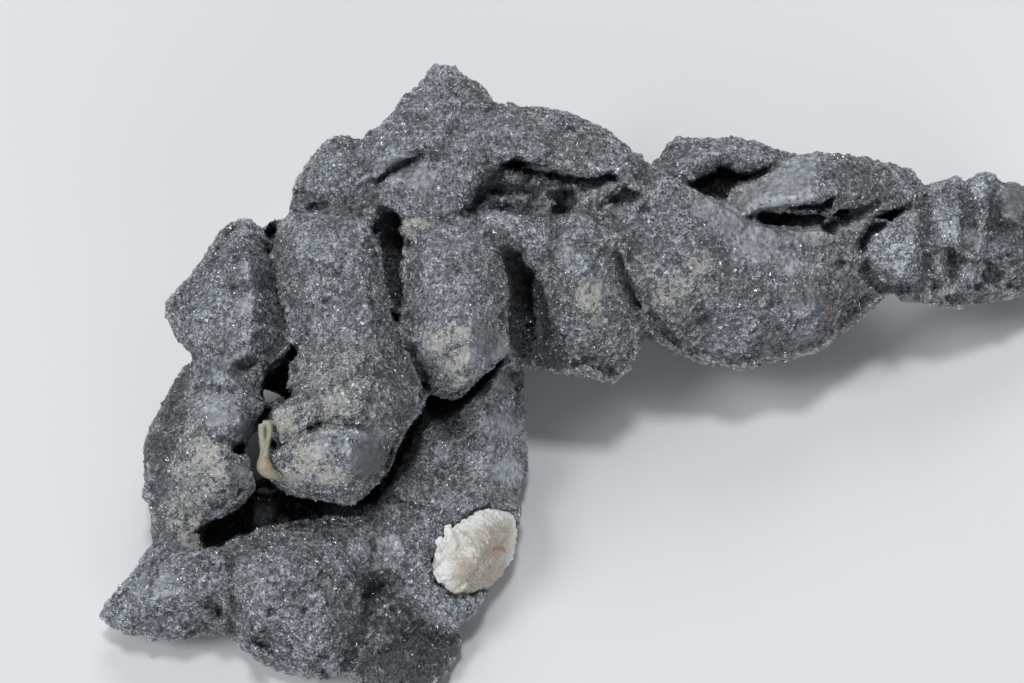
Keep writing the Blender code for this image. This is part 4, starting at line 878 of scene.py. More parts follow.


# What lies on the mass, with painted highlight and painted shade: patches of (right, up, radius, strength) on
# the show face.
patches = {
    "dust": [
        (-25.5, -14.9, 2.4, 1.0), (-27, -16.6, 2.0, 0.9), (-23.4, -16.8, 1.8, 0.9),
        (-20.6, -16.9, 1.0, 0.8), (-28.6, -9.6, 1.9, 0.95), (-27, -11.6, 1.6, 0.9), (-25.6, -8.4, 1.4, 0.7),
        (-21.8, -7.4, 2.6, 0.75), (-22.6, -10.2, 1.8, 0.7), (-19.4, -5.6, 1.6, 0.6), (-24, -4.8, 2.2, 0.5),
        (-22, -1.6, 3.4, 0.35), (-9.6, -0.2, 1.9, 0.95), (-8, 1.2, 1.5, 0.8), (-6.4, 0.8, 1.4, 1.0),
        (-6.2, -1.8, 1.5, 1.0), (-7.4, -3.2, 1.4, 0.95), (-6.6, -4.6, 0.8, 0.7), (-10.8, 1.2, 1.2, 0.6),
        (-12.8, 14.3, 1.3, 1.0), (-11.2, 14.8, 1.1, 1.0), (-12.4, 13.2, 0.9, 0.8), (9.6, 5.6, 2.2, 0.85),
        (10.4, 7.2, 1.4, 0.6), (10.4, 2.8, 1.3, 0.9), (9.1, 1.2, 0.8, 0.9), (9.4, -0.1, 0.8, 0.8),
        (8.4, 3.4, 1.0, 0.6), (6.8, 11, 1.8, 0.4), (5.6, 8.2, 1.2, 0.4), (-38.6, -13.8, 2.6, 0.9),
        (-36.8, -16, 1.6, 0.8), (-40.4, -16.4, 2.2, 0.7), (-38, -19, 2.2, 0.75), (-41.4, -19.8, 2.2, 0.7),
        (-40, -24.8, 1.5, 1.0), (-39.4, -22.6, 1.2, 1.0), (-42, -22.8, 2.0, 0.6), (-39.6, -7.2, 1.6, 0.5),
        (-40.2, -10.8, 1.6, 0.5), (-34.2, -30, 1.6, 0.4), (-38.4, 1.0, 1.4, 0.4), (20.4, 6.4, 3.0, 0.6),
        (23.4, 9.4, 2.4, 0.65), (18.8, 5.0, 1.8, 0.8), (17.8, 8.4, 2.0, 0.4), (24.6, 7.0, 2.0, 0.5),
        (-31.6, -18, 1.0, 0.4), (-28.9, -22.5, 0.9, 0.9), (-26.6, -20.4, 0.4, 1.0), (-6.6, 33.3, 0.7, 0.7),
        (-25.6, 21.2, 1.0, 0.5), (37, 8, 3.0, 0.3), (54.2, 6.6, 1.4, 0.3), (-36.6, -34.6, 1.4, 0.2),
        # the last three lie thinly over the limb as painted light that lifts its tone
        (-8, -14, 6, 0.2), (-3.6, -9.6, 4, 0.2), (-4, -18, 4, 0.15),
    ],
    "bloom": [  # painted highlight: lifts the tone where more light should fall
        (-4, -9, 4, 1.0), (-8, -14, 5, 1.0), (-3, -16, 5, 1.0), (-10, -18, 4, 0.6), (-8, -19.5, 5, 0.8),
        (47.4, 12, 3.2, 1.0), (49, 9.4, 1.8, 1.0), (54.8, 13.8, 1.8, 1.0), (58.4, 19, 1.6, 1.0),
        (53.4, 9, 1.4, 0.6), (-9.4, -33.6, 3.2, 0.75), (-6.4, -34, 2.2, 0.6), (-48, -33, 4, 0.4),
        (-41, -31, 5, 0.4), (12, -1, 3, 0.3), (-25, 10, 5, 0.3), (57, 8.2, 1.2, 0.8), (-26, -31, 7, 0.35),
        (-37, 4, 6, 0.3), (6, 12, 3, 0.2), (-7.4, 5, 5, 0.35), (-37, -9, 4, 0.3), (-38, -16, 5, 0.3),
        (-24, -15, 5, 0.3), (10, 6, 4, 0.2), (47, 13.4, 1.6, 1.0), (-1, -12, 3, 1.0),
    ],
    "shade": [  # painted shade on facets that turn away from the light
        (62.4, 17.8, 2.2, 0.6), (61.6, 13.2, 2.2, 0.6), (-15.2, -3, 2.6, 0.3), (-13.4, -9, 2.6, 0.35),
        (20.5, 2.5, 3.4, 0.35), (-19.2, -35.6, 1.6, 0.5), (-12, -38.6, 5.5, 0.75), (-17.2, -30.4, 1.6, 0.6),
        (-17.2, -14.8, 2.8, 0.65), (44, 20.4, 5, 0.3), (38, 6, 3, 0.2), (34, 15, 2.2, 0.5),
        (40, 15.6, 2.6, 0.5), (45.6, 16.4, 2.2, 0.5), (26, 20.2, 2.6, 0.5), (50.9, 9.4, 1.3, 0.6),
        (49, 6.6, 1.2, 0.6), (57.2, 14.4, 1.0, 0.6), (-3.4, 18.4, 2.2, 0.5), (1.5, 19.6, 1.6, 0.4),
        (3.4, 4, 2.4, 0.6), (17.8, 0.4, 2.0, 0.5), (4, -2.6, 3.0, 0.4), (-43.4, -8.6, 2.6, 0.7),
        (-44.8, -13.4, 2.6, 0.7), (-42, -5, 1.8, 0.6), (-43.6, -18.4, 2.0, 0.5), (-30.9, 7.6, 2.0, 0.75),
        (-30.3, 3.4, 1.9, 0.7), (-27.6, 8.8, 2.2, 0.4), (-26, 4.6, 1.6, 0.3), (-31.2, 11.8, 1.4, 0.4),
        (-37, -9, 1.6, 0.3), (-29.2, 11.6, 1.8, 0.5), (-12, 9, 1.4, 0.3), (-11.8, 3.6, 1.4, 0.3),
        (-2.4, -0.4, 1.6, 0.3), (-34.4, -4.4, 1.6, 0.5), (58.6, 5.4, 1.6, 0.6), (63.6, 10.4, 2.2, 0.4),
        (-21, -35.6, 1.8, 0.4), (-35.4, -33.6, 1.4, 0.4),
    ],
    "rust": [(39.5, 3.4, 0.7, 0.9), (38.9, 1.2, 0.6, 0.7), (40.6, 1.8, 1.4, 0.3), (29.8, 18.6, 1.4, 0.3)],
    # more mirror crystals, and more crystals with the painted glint colour
    "glitter": [
        (-32, -21, 8, 0.9), (-24, -24, 7, 1.0), (-26, -32, 8, 0.7), (-13, -15, 5, 1.0), (-9, -14, 6, 1.0),
        (-9, -20, 5, 0.7), (-43, -30, 6, 0.6), (-12, -37, 5, 0.5), (6, -1.2, 4, 0.9), (17, 2, 1.6, 1.0),
        (48, 11, 4.5, 0.9), (59, 18, 3, 1.0), (55, 13.6, 1.6, 1.0), (57, 8.4, 2, 0.8), (-19, 6, 6, 0.4),
        (-27, 13, 4, 0.5), (2.2, 15.6, 2, 0.9), (21, 19.6, 1.2, 1.0), (44, 20, 5, 0.4), (-37, 9, 5, 0.4),
        (3.4, 4, 3, 0.5),
    ],
    "smooth": [
        (34, 19, 3.6, 1.0), (30.4, 17.6, 2.6, 0.9), (36, 21.4, 2.2, 0.9), (27, 15, 2.6, 0.9),
        (24, 16.6, 1.8, 0.7), (30.6, 12.4, 3.2, 0.9), (34.4, 9.8, 2.2, 0.6), (37.6, 13.6, 1.6, 0.8),
        (34.6, 13.4, 2.2, 0.5), (-14, 21.4, 2.4, 0.7), (-11.4, 20.4, 2.2, 0.6), (-33.2, 4.6, 1.6, 0.6),
        (-33, 9.6, 1.6, 0.4), (-36.6, -8.8, 2.4, 0.6), (-33.4, -10.8, 1.6, 0.8), (-18.2, -14.6, 2.6, 0.9),
        (-17.6, -12, 1.8, 0.7), (-24, -13, 1.8, 0.6), (-2.6, -0.6, 2.4, 0.7), (-4, 2.4, 2.0, 0.4),
        (-0.6, -10, 2.4, 0.8), (-0.2, -16, 2.2, 0.8), (-1, -5, 1.6, 0.7), (-20.6, -13.4, 1.4, 0.6),
        (-15.6, -25.4, 2.8, 0.45), (10, 6, 2.2, 0.7), (6.6, 11.2, 1.6, 0.5), (62.6, 17.4, 2.4, 0.8),
        (57.6, 12.6, 1.6, 0.7), (37, 5, 2.4, 0.5), (36.8, -0.6, 2.4, 0.6), (-44.6, -30, 2.8, 0.4),
        (-5.4, -2.6, 1.4, 0.6), (-35.4, -3.6, 2.2, 0.6), (-33.4, -16.6, 1.4, 0.8),
    ],
    "crumbly": [
        (-40, -17, 4.5, 0.8), (-41, -23, 3.4, 1.0), (-44, -12, 4.5, 0.5), (-22, -7, 4.5, 0.8),
        (-25, -16, 3, 0.4), (-29, -24, 8, 0.5), (-28, -33, 9, 0.6), (-44, -33, 7, 0.6), (-14, -38, 7, 0.7),
        (20, 6, 5, 0.6), (0, 18, 5, 0.6), (12, 17, 6, 0.4), (48, 12, 4, 0.5), (59, 9, 6, 0.6),
        (9, 0, 4, 0.5), (30, 4, 7, 0.3), (-8, 26, 8, 0.3), (54, 14, 3, 0.4),
    ],
}

toneForm = {
    "passes": 36,  # how wide the surroundings are that a crest or a pit is measured against
    "crests": 0.5,  # painted highlight on a crest, against a full painted highlight patch
    "crestHeights": (0.04, 0.4),  # mm, from a first trace to the palest
    "pits": 0.6,  # painted shade in a pit, against that inside a hollow
    "pitDepths": (0.04, 0.45),
    "hollowDepths": (12, 3),  # mm above its floor, where a hollow's painted shade starts and where it is darkest
    "hollowEdge": (-0.3, 0.4),
    "bareFoot": (0.3, 0.8),  # mm of height in which the first crystals stand
    "gathered": (0.3, 0.7),  # share of crystals everywhere, and the share that comes and goes
    "gatherings": (-0.3, 0.2),
}
patchEdge = (1.3, 0.4)  # of its radius, where a patch ends and where it is full
raggedForm = {  # how noise breaks up the edge of a patch
    "coarse": (1.6, 0.5),  # mm, and how strongly
    "fine": (0.7, 0.45),
    "edge": (0.15, 0.55),
    "reach": (0.05, 0.25),
}


def spotAmounts(seen, spots):  # 0 to 1 at each point, from patches of (right, up, radius, strength)
    amount = np.zeros(len(seen))
    for u, v, radius, strength in spots:
        gap = np.hypot(seen[:, 0] - u, seen[:, 1] - v)
        amount = np.maximum(amount, strength * smoothStep(*patchEdge, gap / radius))
    return amount


def raggedAt(points, size):  # -1 to 1 at each point, from noise of this size in mm
    return np.array([noise.noise(Vector(point) / (size * mm)) for point in points])


def paintPatches(piece, name, spots, ragged=False):
    points = pointsOf(piece)
    amounts = spotAmounts(seenAt(points), spots) * facingEye(piece)
    if ragged:
        (coarse, strong), (fine, weak) = raggedForm["coarse"], raggedForm["fine"]
        broken = amounts + strong * raggedAt(points, coarse) + weak * raggedAt(points, fine)
        amounts = smoothStep(*raggedForm["edge"], broken) * smoothStep(*raggedForm["reach"], amounts)
    store(piece, name, amounts)


def hollowness(piece, passes):  # mm that a point lies below its surroundings; less than nothing on a crest
    points, normals = pointsOf(piece), normalsOf(piece)
    first, second = valuesOf(piece.data.edges, "vertices", 2, np.int32).T
    froms, tos = np.concatenate((first, second)), np.concatenate((second, first))
    share = 0.5 / np.maximum(np.bincount(tos, minlength=len(points)), 1)
    even = points.copy()
    for _ in range(passes):  # half a point's own place, half the mean of its neighbours
        sums = [np.bincount(tos, even[froms, axis], len(points)) for axis in range(3)]
        even = 0.5 * even + share[:, None] * np.column_stack(sums)
    return ((even - points) * normals).sum(axis=1) / mm


def paintHighlightAndShade(mass):  # painted highlight on crests and knobs, painted shade in pits and hollows
    form = toneForm
    seen = seenAt(pointsOf(mass))
    facing = facingEye(mass)
    below = hollowness(mass, form["passes"])
    # painted highlight: from the patches, and on crests
    bloom = spotAmounts(seen, patches["bloom"]) * facing
    store(mass, "bloom", np.maximum(bloom, form["crests"] * smoothStep(*form["crestHeights"], -below)))
    # painted shade, stored as deep: from the patches, in pits, and inside hollows
    deep = spotAmounts(seen, patches["shade"]) * facing
    deep = np.maximum(deep, form["pits"] * smoothStep(*form["pitDepths"], below))
    for floor, _, shadeInside, outline in hollows.values():
        sunk = smoothStep(*form["hollowDepths"], seen[:, 2] - floor)
        deep = np.maximum(deep, shadeInside * smoothStep(*form["hollowEdge"], inwardOf(seen, outline)) * sunk)
    store(mass, "deep", deep)


def paintMass(mass):
    for name in ("dust", "rust", "glitter"):
        paintPatches(mass, name, patches[name])
    paintHighlightAndShade(mass)
    points = pointsOf(mass)
    always, more = toneForm["gathered"]
    gathered = smoothStep(*toneForm["gatherings"], raggedAt(points, grainForm["clusters"]))
    store(mass, "clusters", always + more * gathered)
    store(mass, "clear", smoothStep(*toneForm["bareFoot"], points[:, 2] / mm))
    paintPatches(mass, "smooth", patches["smooth"], ragged=True)


# Node helpers


def setInputs(node, inputs):  # an input is given a value, or the socket that feeds it
    for name, value in inputs.items():
        if isinstance(value, bpy.types.NodeSocket):
            node.id_data.links.new(value, node.inputs[name])
        else:
            node.inputs[name].default_value = value


def newNode(tree, kind, inputs=None, **settings):
    node = tree.nodes.new(kind)
    for name, value in settings.items():
        setattr(node, name, value)
    setInputs(node, inputs or {})
    return node


def mathOf(tree, operation, *values, clamp=False):
    inputs = dict(enumerate(values))
    return newNode(tree, "ShaderNodeMath", inputs, operation=operation, use_clamp=clamp).outputs[0]


def times(tree, first, second):
    return mathOf(tree, "MULTIPLY", first, second)


def leftOver(tree, share):  # 1 less the share
    return mathOf(tree, "SUBTRACT", 1.0, share)


def mixColours(tree, factor, first, second):
    return newNode(tree, "ShaderNodeMix", {0: factor, 6: first, 7: second}, data_type="RGBA").outputs[2]


def mixValues(tree, factor, first, second):
    return newNode(tree, "ShaderNodeMix", {0: factor, 2: first, 3: second}).outputs[0]


def stretchTo(tree, value, fromLow, fromHigh, toLow=0.0, toHigh=1.0):
    inputs = {"Value": value, "From Min": fromLow, "From Max": fromHigh, "To Min": toLow, "To Max": toHigh}
    return newNode(tree, "ShaderNodeMapRange", inputs).outputs["Result"]


def attributeOf(tree, name):
    return newNode(tree, "ShaderNodeAttribute", attribute_name=name).outputs["Fac"]


def objectPlaces(tree):
    return newNode(tree, "ShaderNodeTexCoord").outputs["Object"]


def noiseOf(tree, scale, detail, roughness=0.5):
    inputs = {"Vector": objectPlaces(tree), "Scale": scale, "Detail": detail, "Roughness": roughness}
    return newNode(tree, "ShaderNodeTexNoise", inputs).outputs["Fac"]


def cellsOf(tree, scale):
    return newNode(tree, "ShaderNodeTexVoronoi", {"Vector": objectPlaces(tree), "Scale": scale}).outputs


# The crust: small tabular crystals, which lie on the mass at all angles. Each zone is one piece.
grainForm = {
    "radius": (0.13, 0.34),  # mm, smallest and largest on the show face
    "backRadius": (0.24, 0.5),
    "smallMore": 2.2,  # how much commoner the small ones are
    "thickness": 0.5,  # of the width
    "lean": 30.0,  # degrees from lying flat
    "clusters": 1.3,  # mm, from one gathering of crystals to the next
    "glints": (0.93, 0.96, 1.25),  # from this tone to that one a crystal grows by up to this much
    "inAPiece": 49500,  # crystals, of four triangles each
    "pieces": {"hoodGrains": 1, "armGrains": 2, "lobeGrains": 3, "footGrains": 4, "backGrains": 5},
    "borders": {"hoodAbove": 5.5, "limbBelow": -8, "limbBeyond": -14, "footBelow": -20, "armBeyond": 14},
    "seed": 11,
    "draws": {"turn": 3, "tone": 5, "size": 7},
}


def zoneOfFaces(mass):  # the number of a piece in grainForm, for each face
    border, number = grainForm["borders"], grainForm["pieces"]
    seen = seenAt(valuesOf(mass.data.polygons, "center", 3).astype(float))
    u, v = seen[:, 0], seen[:, 1]
    zone = np.full(len(seen), number["lobeGrains"])
    zone[v > border["hoodAbove"]] = number["hoodGrains"]
    zone[(v < border["limbBelow"]) & (u > border["limbBeyond"])] = number["footGrains"]
    zone[v < border["footBelow"]] = number["footGrains"]
    zone[u > border["armBeyond"]] = number["armGrains"]
    zone[seesEye(mass)[cornersOf(mass)].max(axis=1) == 0] = number["backGrains"]
    return zone


def grainShape():  # a low three-sided pyramid, sunk a little so that its rim is hidden
    deselectAll()
    bpy.ops.mesh.primitive_cone_add(vertices=3, radius1=1.0, radius2=0.0, depth=grainForm["thickness"] * 2)
    plate = bpy.context.object
    plate.name = "grainShape"
    return plate


def grainScatter(plate):
    tree = bpy.data.node_groups.new("grainScatter", "GeometryNodeTree")
    kinds = {"Density": "Float", "Zone": "Int", "Smallest": "Float", "Largest": "Float", "Seed": "Int"}
    for label, kind in {"Geometry": "Geometry", **kinds}.items():
        tree.interface.new_socket(label, in_out="INPUT", socket_type="NodeSocket" + kind)
    tree.interface.new_socket("Geometry", in_out="OUTPUT", socket_type="NodeSocketGeometry")
    given = newNode(tree, "NodeGroupInput").outputs

    def painted(name, kind):
        node = newNode(tree, "GeometryNodeInputNamedAttribute", {"Name": name}, data_type=kind)
        return node.outputs["Attribute"]

    def drawn(name, inputs=None, kind="FLOAT"):
        inputs = {**(inputs or {}), "Seed": grainForm["draws"][name]}
        return newNode(tree, "FunctionNodeRandomValue", inputs, data_type=kind).outputs

    here = newNode(
        tree,
        "FunctionNodeCompare",
        {2: painted("zone", "INT"), 3: given["Zone"]},
        data_type="INT",
        operation="EQUAL",
    )
    where = {
        "Mesh": given["Geometry"],
        "Selection": here.outputs["Result"],
        "Density": times(tree, painted("cover", "FLOAT"), given["Density"]),
        "Seed": given["Seed"],
    }
    points = newNode(tree, "GeometryNodeDistributePointsOnFaces", where).outputs
    lean = math.radians(grainForm["lean"])
    turn = drawn("turn", {0: (-lean, -lean, 0.0), 1: (lean, lean, math.tau)}, "FLOAT_VECTOR")[0]
    turns = {"Rotation": points["Rotation"], "Rotate By": turn}
    turned = newNode(tree, "FunctionNodeRotateRotation", turns, rotation_space="LOCAL").outputs["Rotation"]
    tone = drawn("tone")[1]
    toned = newNode(
        tree,
        "GeometryNodeStoreNamedAttribute",
        {"Geometry": points["Points"], "Name": "tone", "Value": tone},
        data_type="FLOAT",
        domain="POINT",
    )
    draw = mathOf(tree, "POWER", drawn("size")[1], grainForm["smallMore"])
    size = stretchTo(tree, draw, 0.0, 1.0, given["Smallest"], given["Largest"])
    dullest, brightest, growth = grainForm["glints"]
    scale = times(tree, size, stretchTo(tree, tone, dullest, brightest, 1.0, growth))
    placing = {"Points": toned.outputs["Geometry"], "Rotation": turned, "Scale": scale}
    placing["Instance"] = newNode(tree, "GeometryNodeObjectInfo", {"Object": plate}).outputs["Geometry"]
    placed = newNode(tree, "GeometryNodeInstanceOnPoints", placing).outputs["Instances"]
    real = newNode(tree, "GeometryNodeRealizeInstances", {"Geometry": placed}).outputs["Geometry"]
    newNode(tree, "NodeGroupOutput", {"Geometry": real})
    return tree


def makeGrains(mass):
    zones = zoneOfFaces(mass)
    cover = (1 - facesOf(mass, "smooth")) * facesOf(mass, "clusters") * facesOf(mass, "clear")
    store(mass, "zone", zones, "INT", "FACE")
    store(mass, "cover", cover, "FLOAT", "FACE")
    areas = valuesOf(mass.data.polygons, "area")
    plate = grainShape()
    scatter = grainScatter(plate)
    sockets = {s.name: s.identifier for s in scatter.interface.items_tree if s.in_out == "INPUT"}
    made = []
    for name, zone in grainForm["pieces"].items():
        area = float((areas * cover)[zones == zone].sum())
        smallest, largest = grainForm["backRadius" if name == "backGrains" else "radius"]
        values = {
            "Density": grainForm["inAPiece"] / area,
            "Zone": zone,
            "Smallest": smallest * mm,
            "Largest": largest * mm,
            "Seed": grainForm["seed"] + zone,
        }
        grains = linked(name, mass.data.copy())
        modifier = grains.modifiers.new("Grains", "NODES")
        modifier.node_group = scatter
        for label, value in values.items():
            modifier[sockets[label]] = value
        applyModifiers(grains)
        restOnGround(grains)
        grains.data.materials.clear()
        print(name, len(grains.data.polygons), "faces over", round(area / mm**2), "square mm")
        made.append(grains)
    bpy.data.objects.remove(plate)
    return made


# The white nodule: a tan dome in a chalky, spiky rim.
noduleForm = {
    "voxel": 0.13,
    "softening": (150, 6),  # before and after the spikes
    "spikes": [  # root (right, up, towards the eye), tip, root radius, all in mm
        ((-7.6, -26.2, -2.2), (-9.2, -24.7, -1.0), 1.1),
        ((-7.4, -25.4, -2.0), (-8.0, -23.0, -1.4), 0.9),
        ((-8.2, -27.4, -2.0), (-9.5, -26.6, -1.0), 0.9),
        ((-7.8, -28.8, -2.2), (-9.4, -29.2, -1.4), 1.9),
        ((-7.0, -30.0, -2.4), (-7.7, -30.9, -1.8), 1.9),
        ((-6.4, -24.8, -2.6), (-6.8, -23.5, -2.0), 0.7),
    ],
    "spikeSides": 10,
    "bluntness": 0.45,  # a spike's tip, of its root
    "overshoot": (1.3, 0.35),  # a spike's length and where its middle lies, of the way from root to tip
    "roughness": [  # the ragged rim, and grit
        ("CLOUDS", 0.8, 0.7, "", {"noise_depth": 3}),
        ("STUCCI", 0.4, 0.16, "", {}),
    ],
    "patches": {
        "tan": [
            (-4.2, -27.6, 4.0, 1.0), (-2.6, -25.2, 3.0, 1.0), (-1.4, -23.6, 1.8, 0.9),
            (-5.6, -29.8, 2.4, 1.0), (-2.4, -29.0, 2.8, 0.9),
        ],
        "streak": [
            (-2.2, -25.9, 0.28, 1.0), (-1.8, -25.9, 0.28, 1.0), (-1.4, -25.9, 0.28, 1.0),
            (-1.1, -25.8, 0.22, 0.9),
        ],
        "glitter": [(-2.7, -23.7, 0.35, 1.0)],
    },
}


def addSpike(root, tip, radius):
    start, end = placeOf(*root), placeOf(*tip)
    along = end - start
    length, middle = noduleForm["overshoot"]
    bpy.ops.mesh.primitive_cone_add(
        vertices=noduleForm["spikeSides"],
        radius1=radius * mm,
        radius2=radius * noduleForm["bluntness"] * mm,
        depth=along.length * length,
        location=start + along * middle,
        rotation=along.to_track_quat("Z", "Y").to_euler(),
    )
    return bpy.context.object


def makeNodule():
    nodule = copyOfNode("white_nodule", "whiteNodule")
    fuse(nodule, noduleForm["voxel"])
    soften(nodule, noduleForm["softening"][0])
    applyModifiers(nodule)
    joinInto(nodule, [addSpike(*spike) for spike in noduleForm["spikes"]])
    fuse(nodule, noduleForm["voxel"])
    soften(nodule, noduleForm["softening"][1])
    roughen(nodule, noduleForm["roughness"])
    applyModifiers(nodule)
    for name, spots in noduleForm["patches"].items():
        paintPatches(nodule, name, spots)
    return nodule


# The pale strand: a wax-like ribbon with raised rims, which ends in a drop against the middle lobe.
strandForm = {
    "routes": [  # each is a run of (right, up, towards the eye, radius), in mm
        [
            (-31.3, -10.4, 1.4, 0.4), (-31.3, -11.4, 1.9, 0.44), (-31.2, -12.6, 2.4, 0.4),
            (-31.1, -13.8, 2.9, 0.42), (-31.2, -15, 3.2, 0.5),
        ],
        [
            (-31.1, -10.2, 1.3, 0.38), (-30.5, -10.2, 1.4, 0.4), (-30.2, -11.0, 2.0, 0.42),
            (-30.4, -12.2, 2.6, 0.34), (-30.7, -13.4, 3.0, 0.36), (-30.8, -14.6, 3.3, 0.5),
        ],
        [(-30.8, -10.6, 1.0, 0.36), (-30.8, -12.0, 1.7, 0.3), (-30.9, -13.6, 2.6, 0.3)],
        [  # the drop, which runs on into the rock
            (-31.0, -14.2, 3.1, 0.5), (-31.1, -15.3, 3.4, 0.95), (-30.7, -16.1, 3.5, 1.0),
            (-30.0, -16.6, 3.4, 0.7), (-29.2, -16.8, 3.0, 0.5), (-28.3, -16.9, 2.6, 0.45),
        ],
        [(-30.6, -10.2, 1.4, 0.4), (-29.6, -10.3, 0.8, 0.38), (-28.7, -10.4, 0.6, 0.36)],  # into the rock too
    ],
    "roundness": 4,
    "steps": 8,  # from one point of a route to the next
    "voxel": 0.08,
    "softening": 5,
    "roughness": [("CLOUDS", 0.9, 0.16, "", {})],
    "tan": [(-31.3, -15.4, 1.1, 1.0), (-30.6, -16.6, 0.8, 0.7)],
}


def addTube(route):
    curve = bpy.data.curves.new("tube", "CURVE")
    curve.dimensions = "3D"
    curve.bevel_depth = mm  # times the radius at each point
    curve.bevel_resolution = strandForm["roundness"]
    curve.use_fill_caps = True
    line = curve.splines.new("NURBS")
    line.points.add(len(route) - 1)
    line.order_u = 3
    line.resolution_u = strandForm["steps"]
    line.use_endpoint_u = True
    for point, (u, v, w, radius) in zip(line.points, route):
        point.co = (*placeOf(u, v, w), 1)
        point.radius = radius
    useOnly(linked("tube", curve))
    bpy.ops.object.convert(target="MESH")
    return bpy.context.object


def makeStrand():
    *tubes, strand = [addTube(route) for route in strandForm["routes"]]
    joinInto(strand, tubes)
    strand.name = "paleStrand"
    fuse(strand, strandForm["voxel"])
    soften(strand, strandForm["softening"])
    roughen(strand, strandForm["roughness"])
    applyModifiers(strand)
    bpy.ops.object.shade_smooth()
    paintPatches(strand, "tan", strandForm["tan"])
    return strand


# Shader groups: drift, veil and relief serve several materials, glitter only the crust
groupForm = {
    "fineShare": 0.45,  # of the drift
    "driftRange": (0.34, 0.66),  # the noise that is stretched to 0 and 1
    "specksFrom": 0.86,  # the noise that is dust where none is painted
    "specksPull": 0.5,  # how far full dust lowers that
    "speckEdge": 9.0,  # how sharply a speck ends
    "knobTop": 0.95,
    "gritShare": 0.6,  # of the relief
    "gritRange": (0.3, 0.7),
    "coarseness": 0.65,  # of specks and grit
}


def newGroup(name, given, puts):
    tree = bpy.data.node_groups.new(name, "ShaderNodeTree")
    for label, value in given.items():
        socket = tree.interface.new_socket(label, in_out="INPUT", socket_type="NodeSocketFloat")
        socket.default_value = value
    for label, kind in puts.items():
        tree.interface.new_socket(label, in_out="OUTPUT", socket_type=kind)
    return tree, newNode(tree, "NodeGroupInput").outputs


def makeDrift():  # broad and fine change of tone, from 0 to 1
    tree, given = newGroup("toneDrift", {"Broad": 120.0, "Fine": 900.0}, {"Tone": "NodeSocketFloat"})
    broad, fine = noiseOf(tree, given["Broad"], 4.0), noiseOf(tree, given["Fine"], 3.0)
    both = mixValues(tree, groupForm["fineShare"], broad, fine)
    newNode(tree, "NodeGroupOutput", {"Tone": stretchTo(tree, both, *groupForm["driftRange"])})
    return tree


def makeVeil():  # dust that lies in specks where it was painted, and thinly elsewhere
    amounts = {"Amount": 0.0, "Everywhere": 0.05, "Speck": 1500.0}
    tree, given = newGroup("dustVeil", amounts, {"Mask": "NodeSocketFloat"})
    specks = noiseOf(tree, given["Speck"], 3.0, groupForm["coarseness"])
    wanted = mathOf(tree, "ADD", given["Amount"], given["Everywhere"])
    edge = mathOf(tree, "SUBTRACT", groupForm["specksFrom"], times(tree, wanted, groupForm["specksPull"]))
    above = mathOf(tree, "SUBTRACT", specks, edge)
    mask = mathOf(tree, "MULTIPLY", above, groupForm["speckEdge"], clamp=True)
    newNode(tree, "NodeGroupOutput", {"Mask": mask})
    return tree


def makeGlitter():  # crystal faces too small to model: each cell leans its own way
    puts = {"Normal": "NodeSocketVector", "Cell": "NodeSocketFloat"}
    tree, given = newGroup("plateGlitter", {"Cells": 3200.0, "Lean": 0.8}, puts)

    def vectorOf(operation, inputs):
        return newNode(tree, "ShaderNodeVectorMath", inputs, operation=operation).outputs[0]

    colour = cellsOf(tree, given["Cells"])["Color"]
    centred = vectorOf("SUBTRACT", {0: colour, 1: (0.5, 0.5, 0.5)})
    leaning = vectorOf("SCALE", {0: centred, "Scale": given["Lean"]})
    surface = newNode(tree, "ShaderNodeNewGeometry").outputs["Normal"]
    normal = vectorOf("NORMALIZE", {0: vectorOf("ADD", {0: surface, 1: leaning})})
    cell = newNode(tree, "ShaderNodeSeparateColor", {0: colour}).outputs[1]
    newNode(tree, "NodeGroupOutput", {"Normal": normal, "Cell": cell})
    return tree


def makeRelief():  # knobs and pits too small to model, from 0 to 1
    sizes = {"Knobs": 1000.0, "Grit": 1500.0}
    tree, given = newGroup("crystalRelief", sizes, {"Height": "NodeSocketFloat"})
    knobs = mathOf(tree, "SUBTRACT", groupForm["knobTop"], cellsOf(tree, given["Knobs"])["Distance"])
    grit = noiseOf(tree, given["Grit"], 5.0, groupForm["coarseness"])
    height = mixValues(tree, groupForm["gritShare"], knobs, stretchTo(tree, grit, *groupForm["gritRange"]))
    newNode(tree, "NodeGroupOutput", {"Height": height})
    return tree


groups = {"drift": makeDrift(), "veil": makeVeil(), "glitter": makeGlitter(), "relief": makeRelief()}


def useGroup(tree, name, inputs=None):
    return newNode(tree, "ShaderNodeGroup", inputs, node_tree=groups[name]).outputs


def newMaterial(name):
    material = bpy.data.materials.new(name)
    material.use_nodes = True
    return material, material.node_tree, material.node_tree.nodes["Principled BSDF"]


# Hematite: steel grey with a blue cast, in cream dust and a little rust, with painted shade, painted
# highlights and painted glints
hematiteLook = {
    "dark": (0.062, 0.069, 0.077, 1),
    "light": (0.6, 0.65, 0.7, 1),
    # how dark full painted shade makes the tone
    "deepTone": 0.12,
    # how far a full painted highlight lifts the tone
    "bloomTone": 2.4,
    "reliefRange": (0.2, 0.7),  # the heights that count as pit and as knob
    # painted shade in the pits of the relief and painted highlight on its knobs
    "reliefTones": (0.5, 1.5),
    "relief": 0.2,  # mm, from the pits to the knobs
    "smoothRelief": 0.35,  # what a smooth patch keeps of it
    "dust": (0.5, 0.49, 0.45, 1),
    # painted glint: the colour of the brightest crystals
    "glint": (0.78, 0.82, 0.88, 1),
    "rust": (0.2, 0.11, 0.075, 1),
    "stain": 0.8,  # how well dust and rust cover
    "drift": {"Broad": 260.0, "Fine": 1300.0},
}
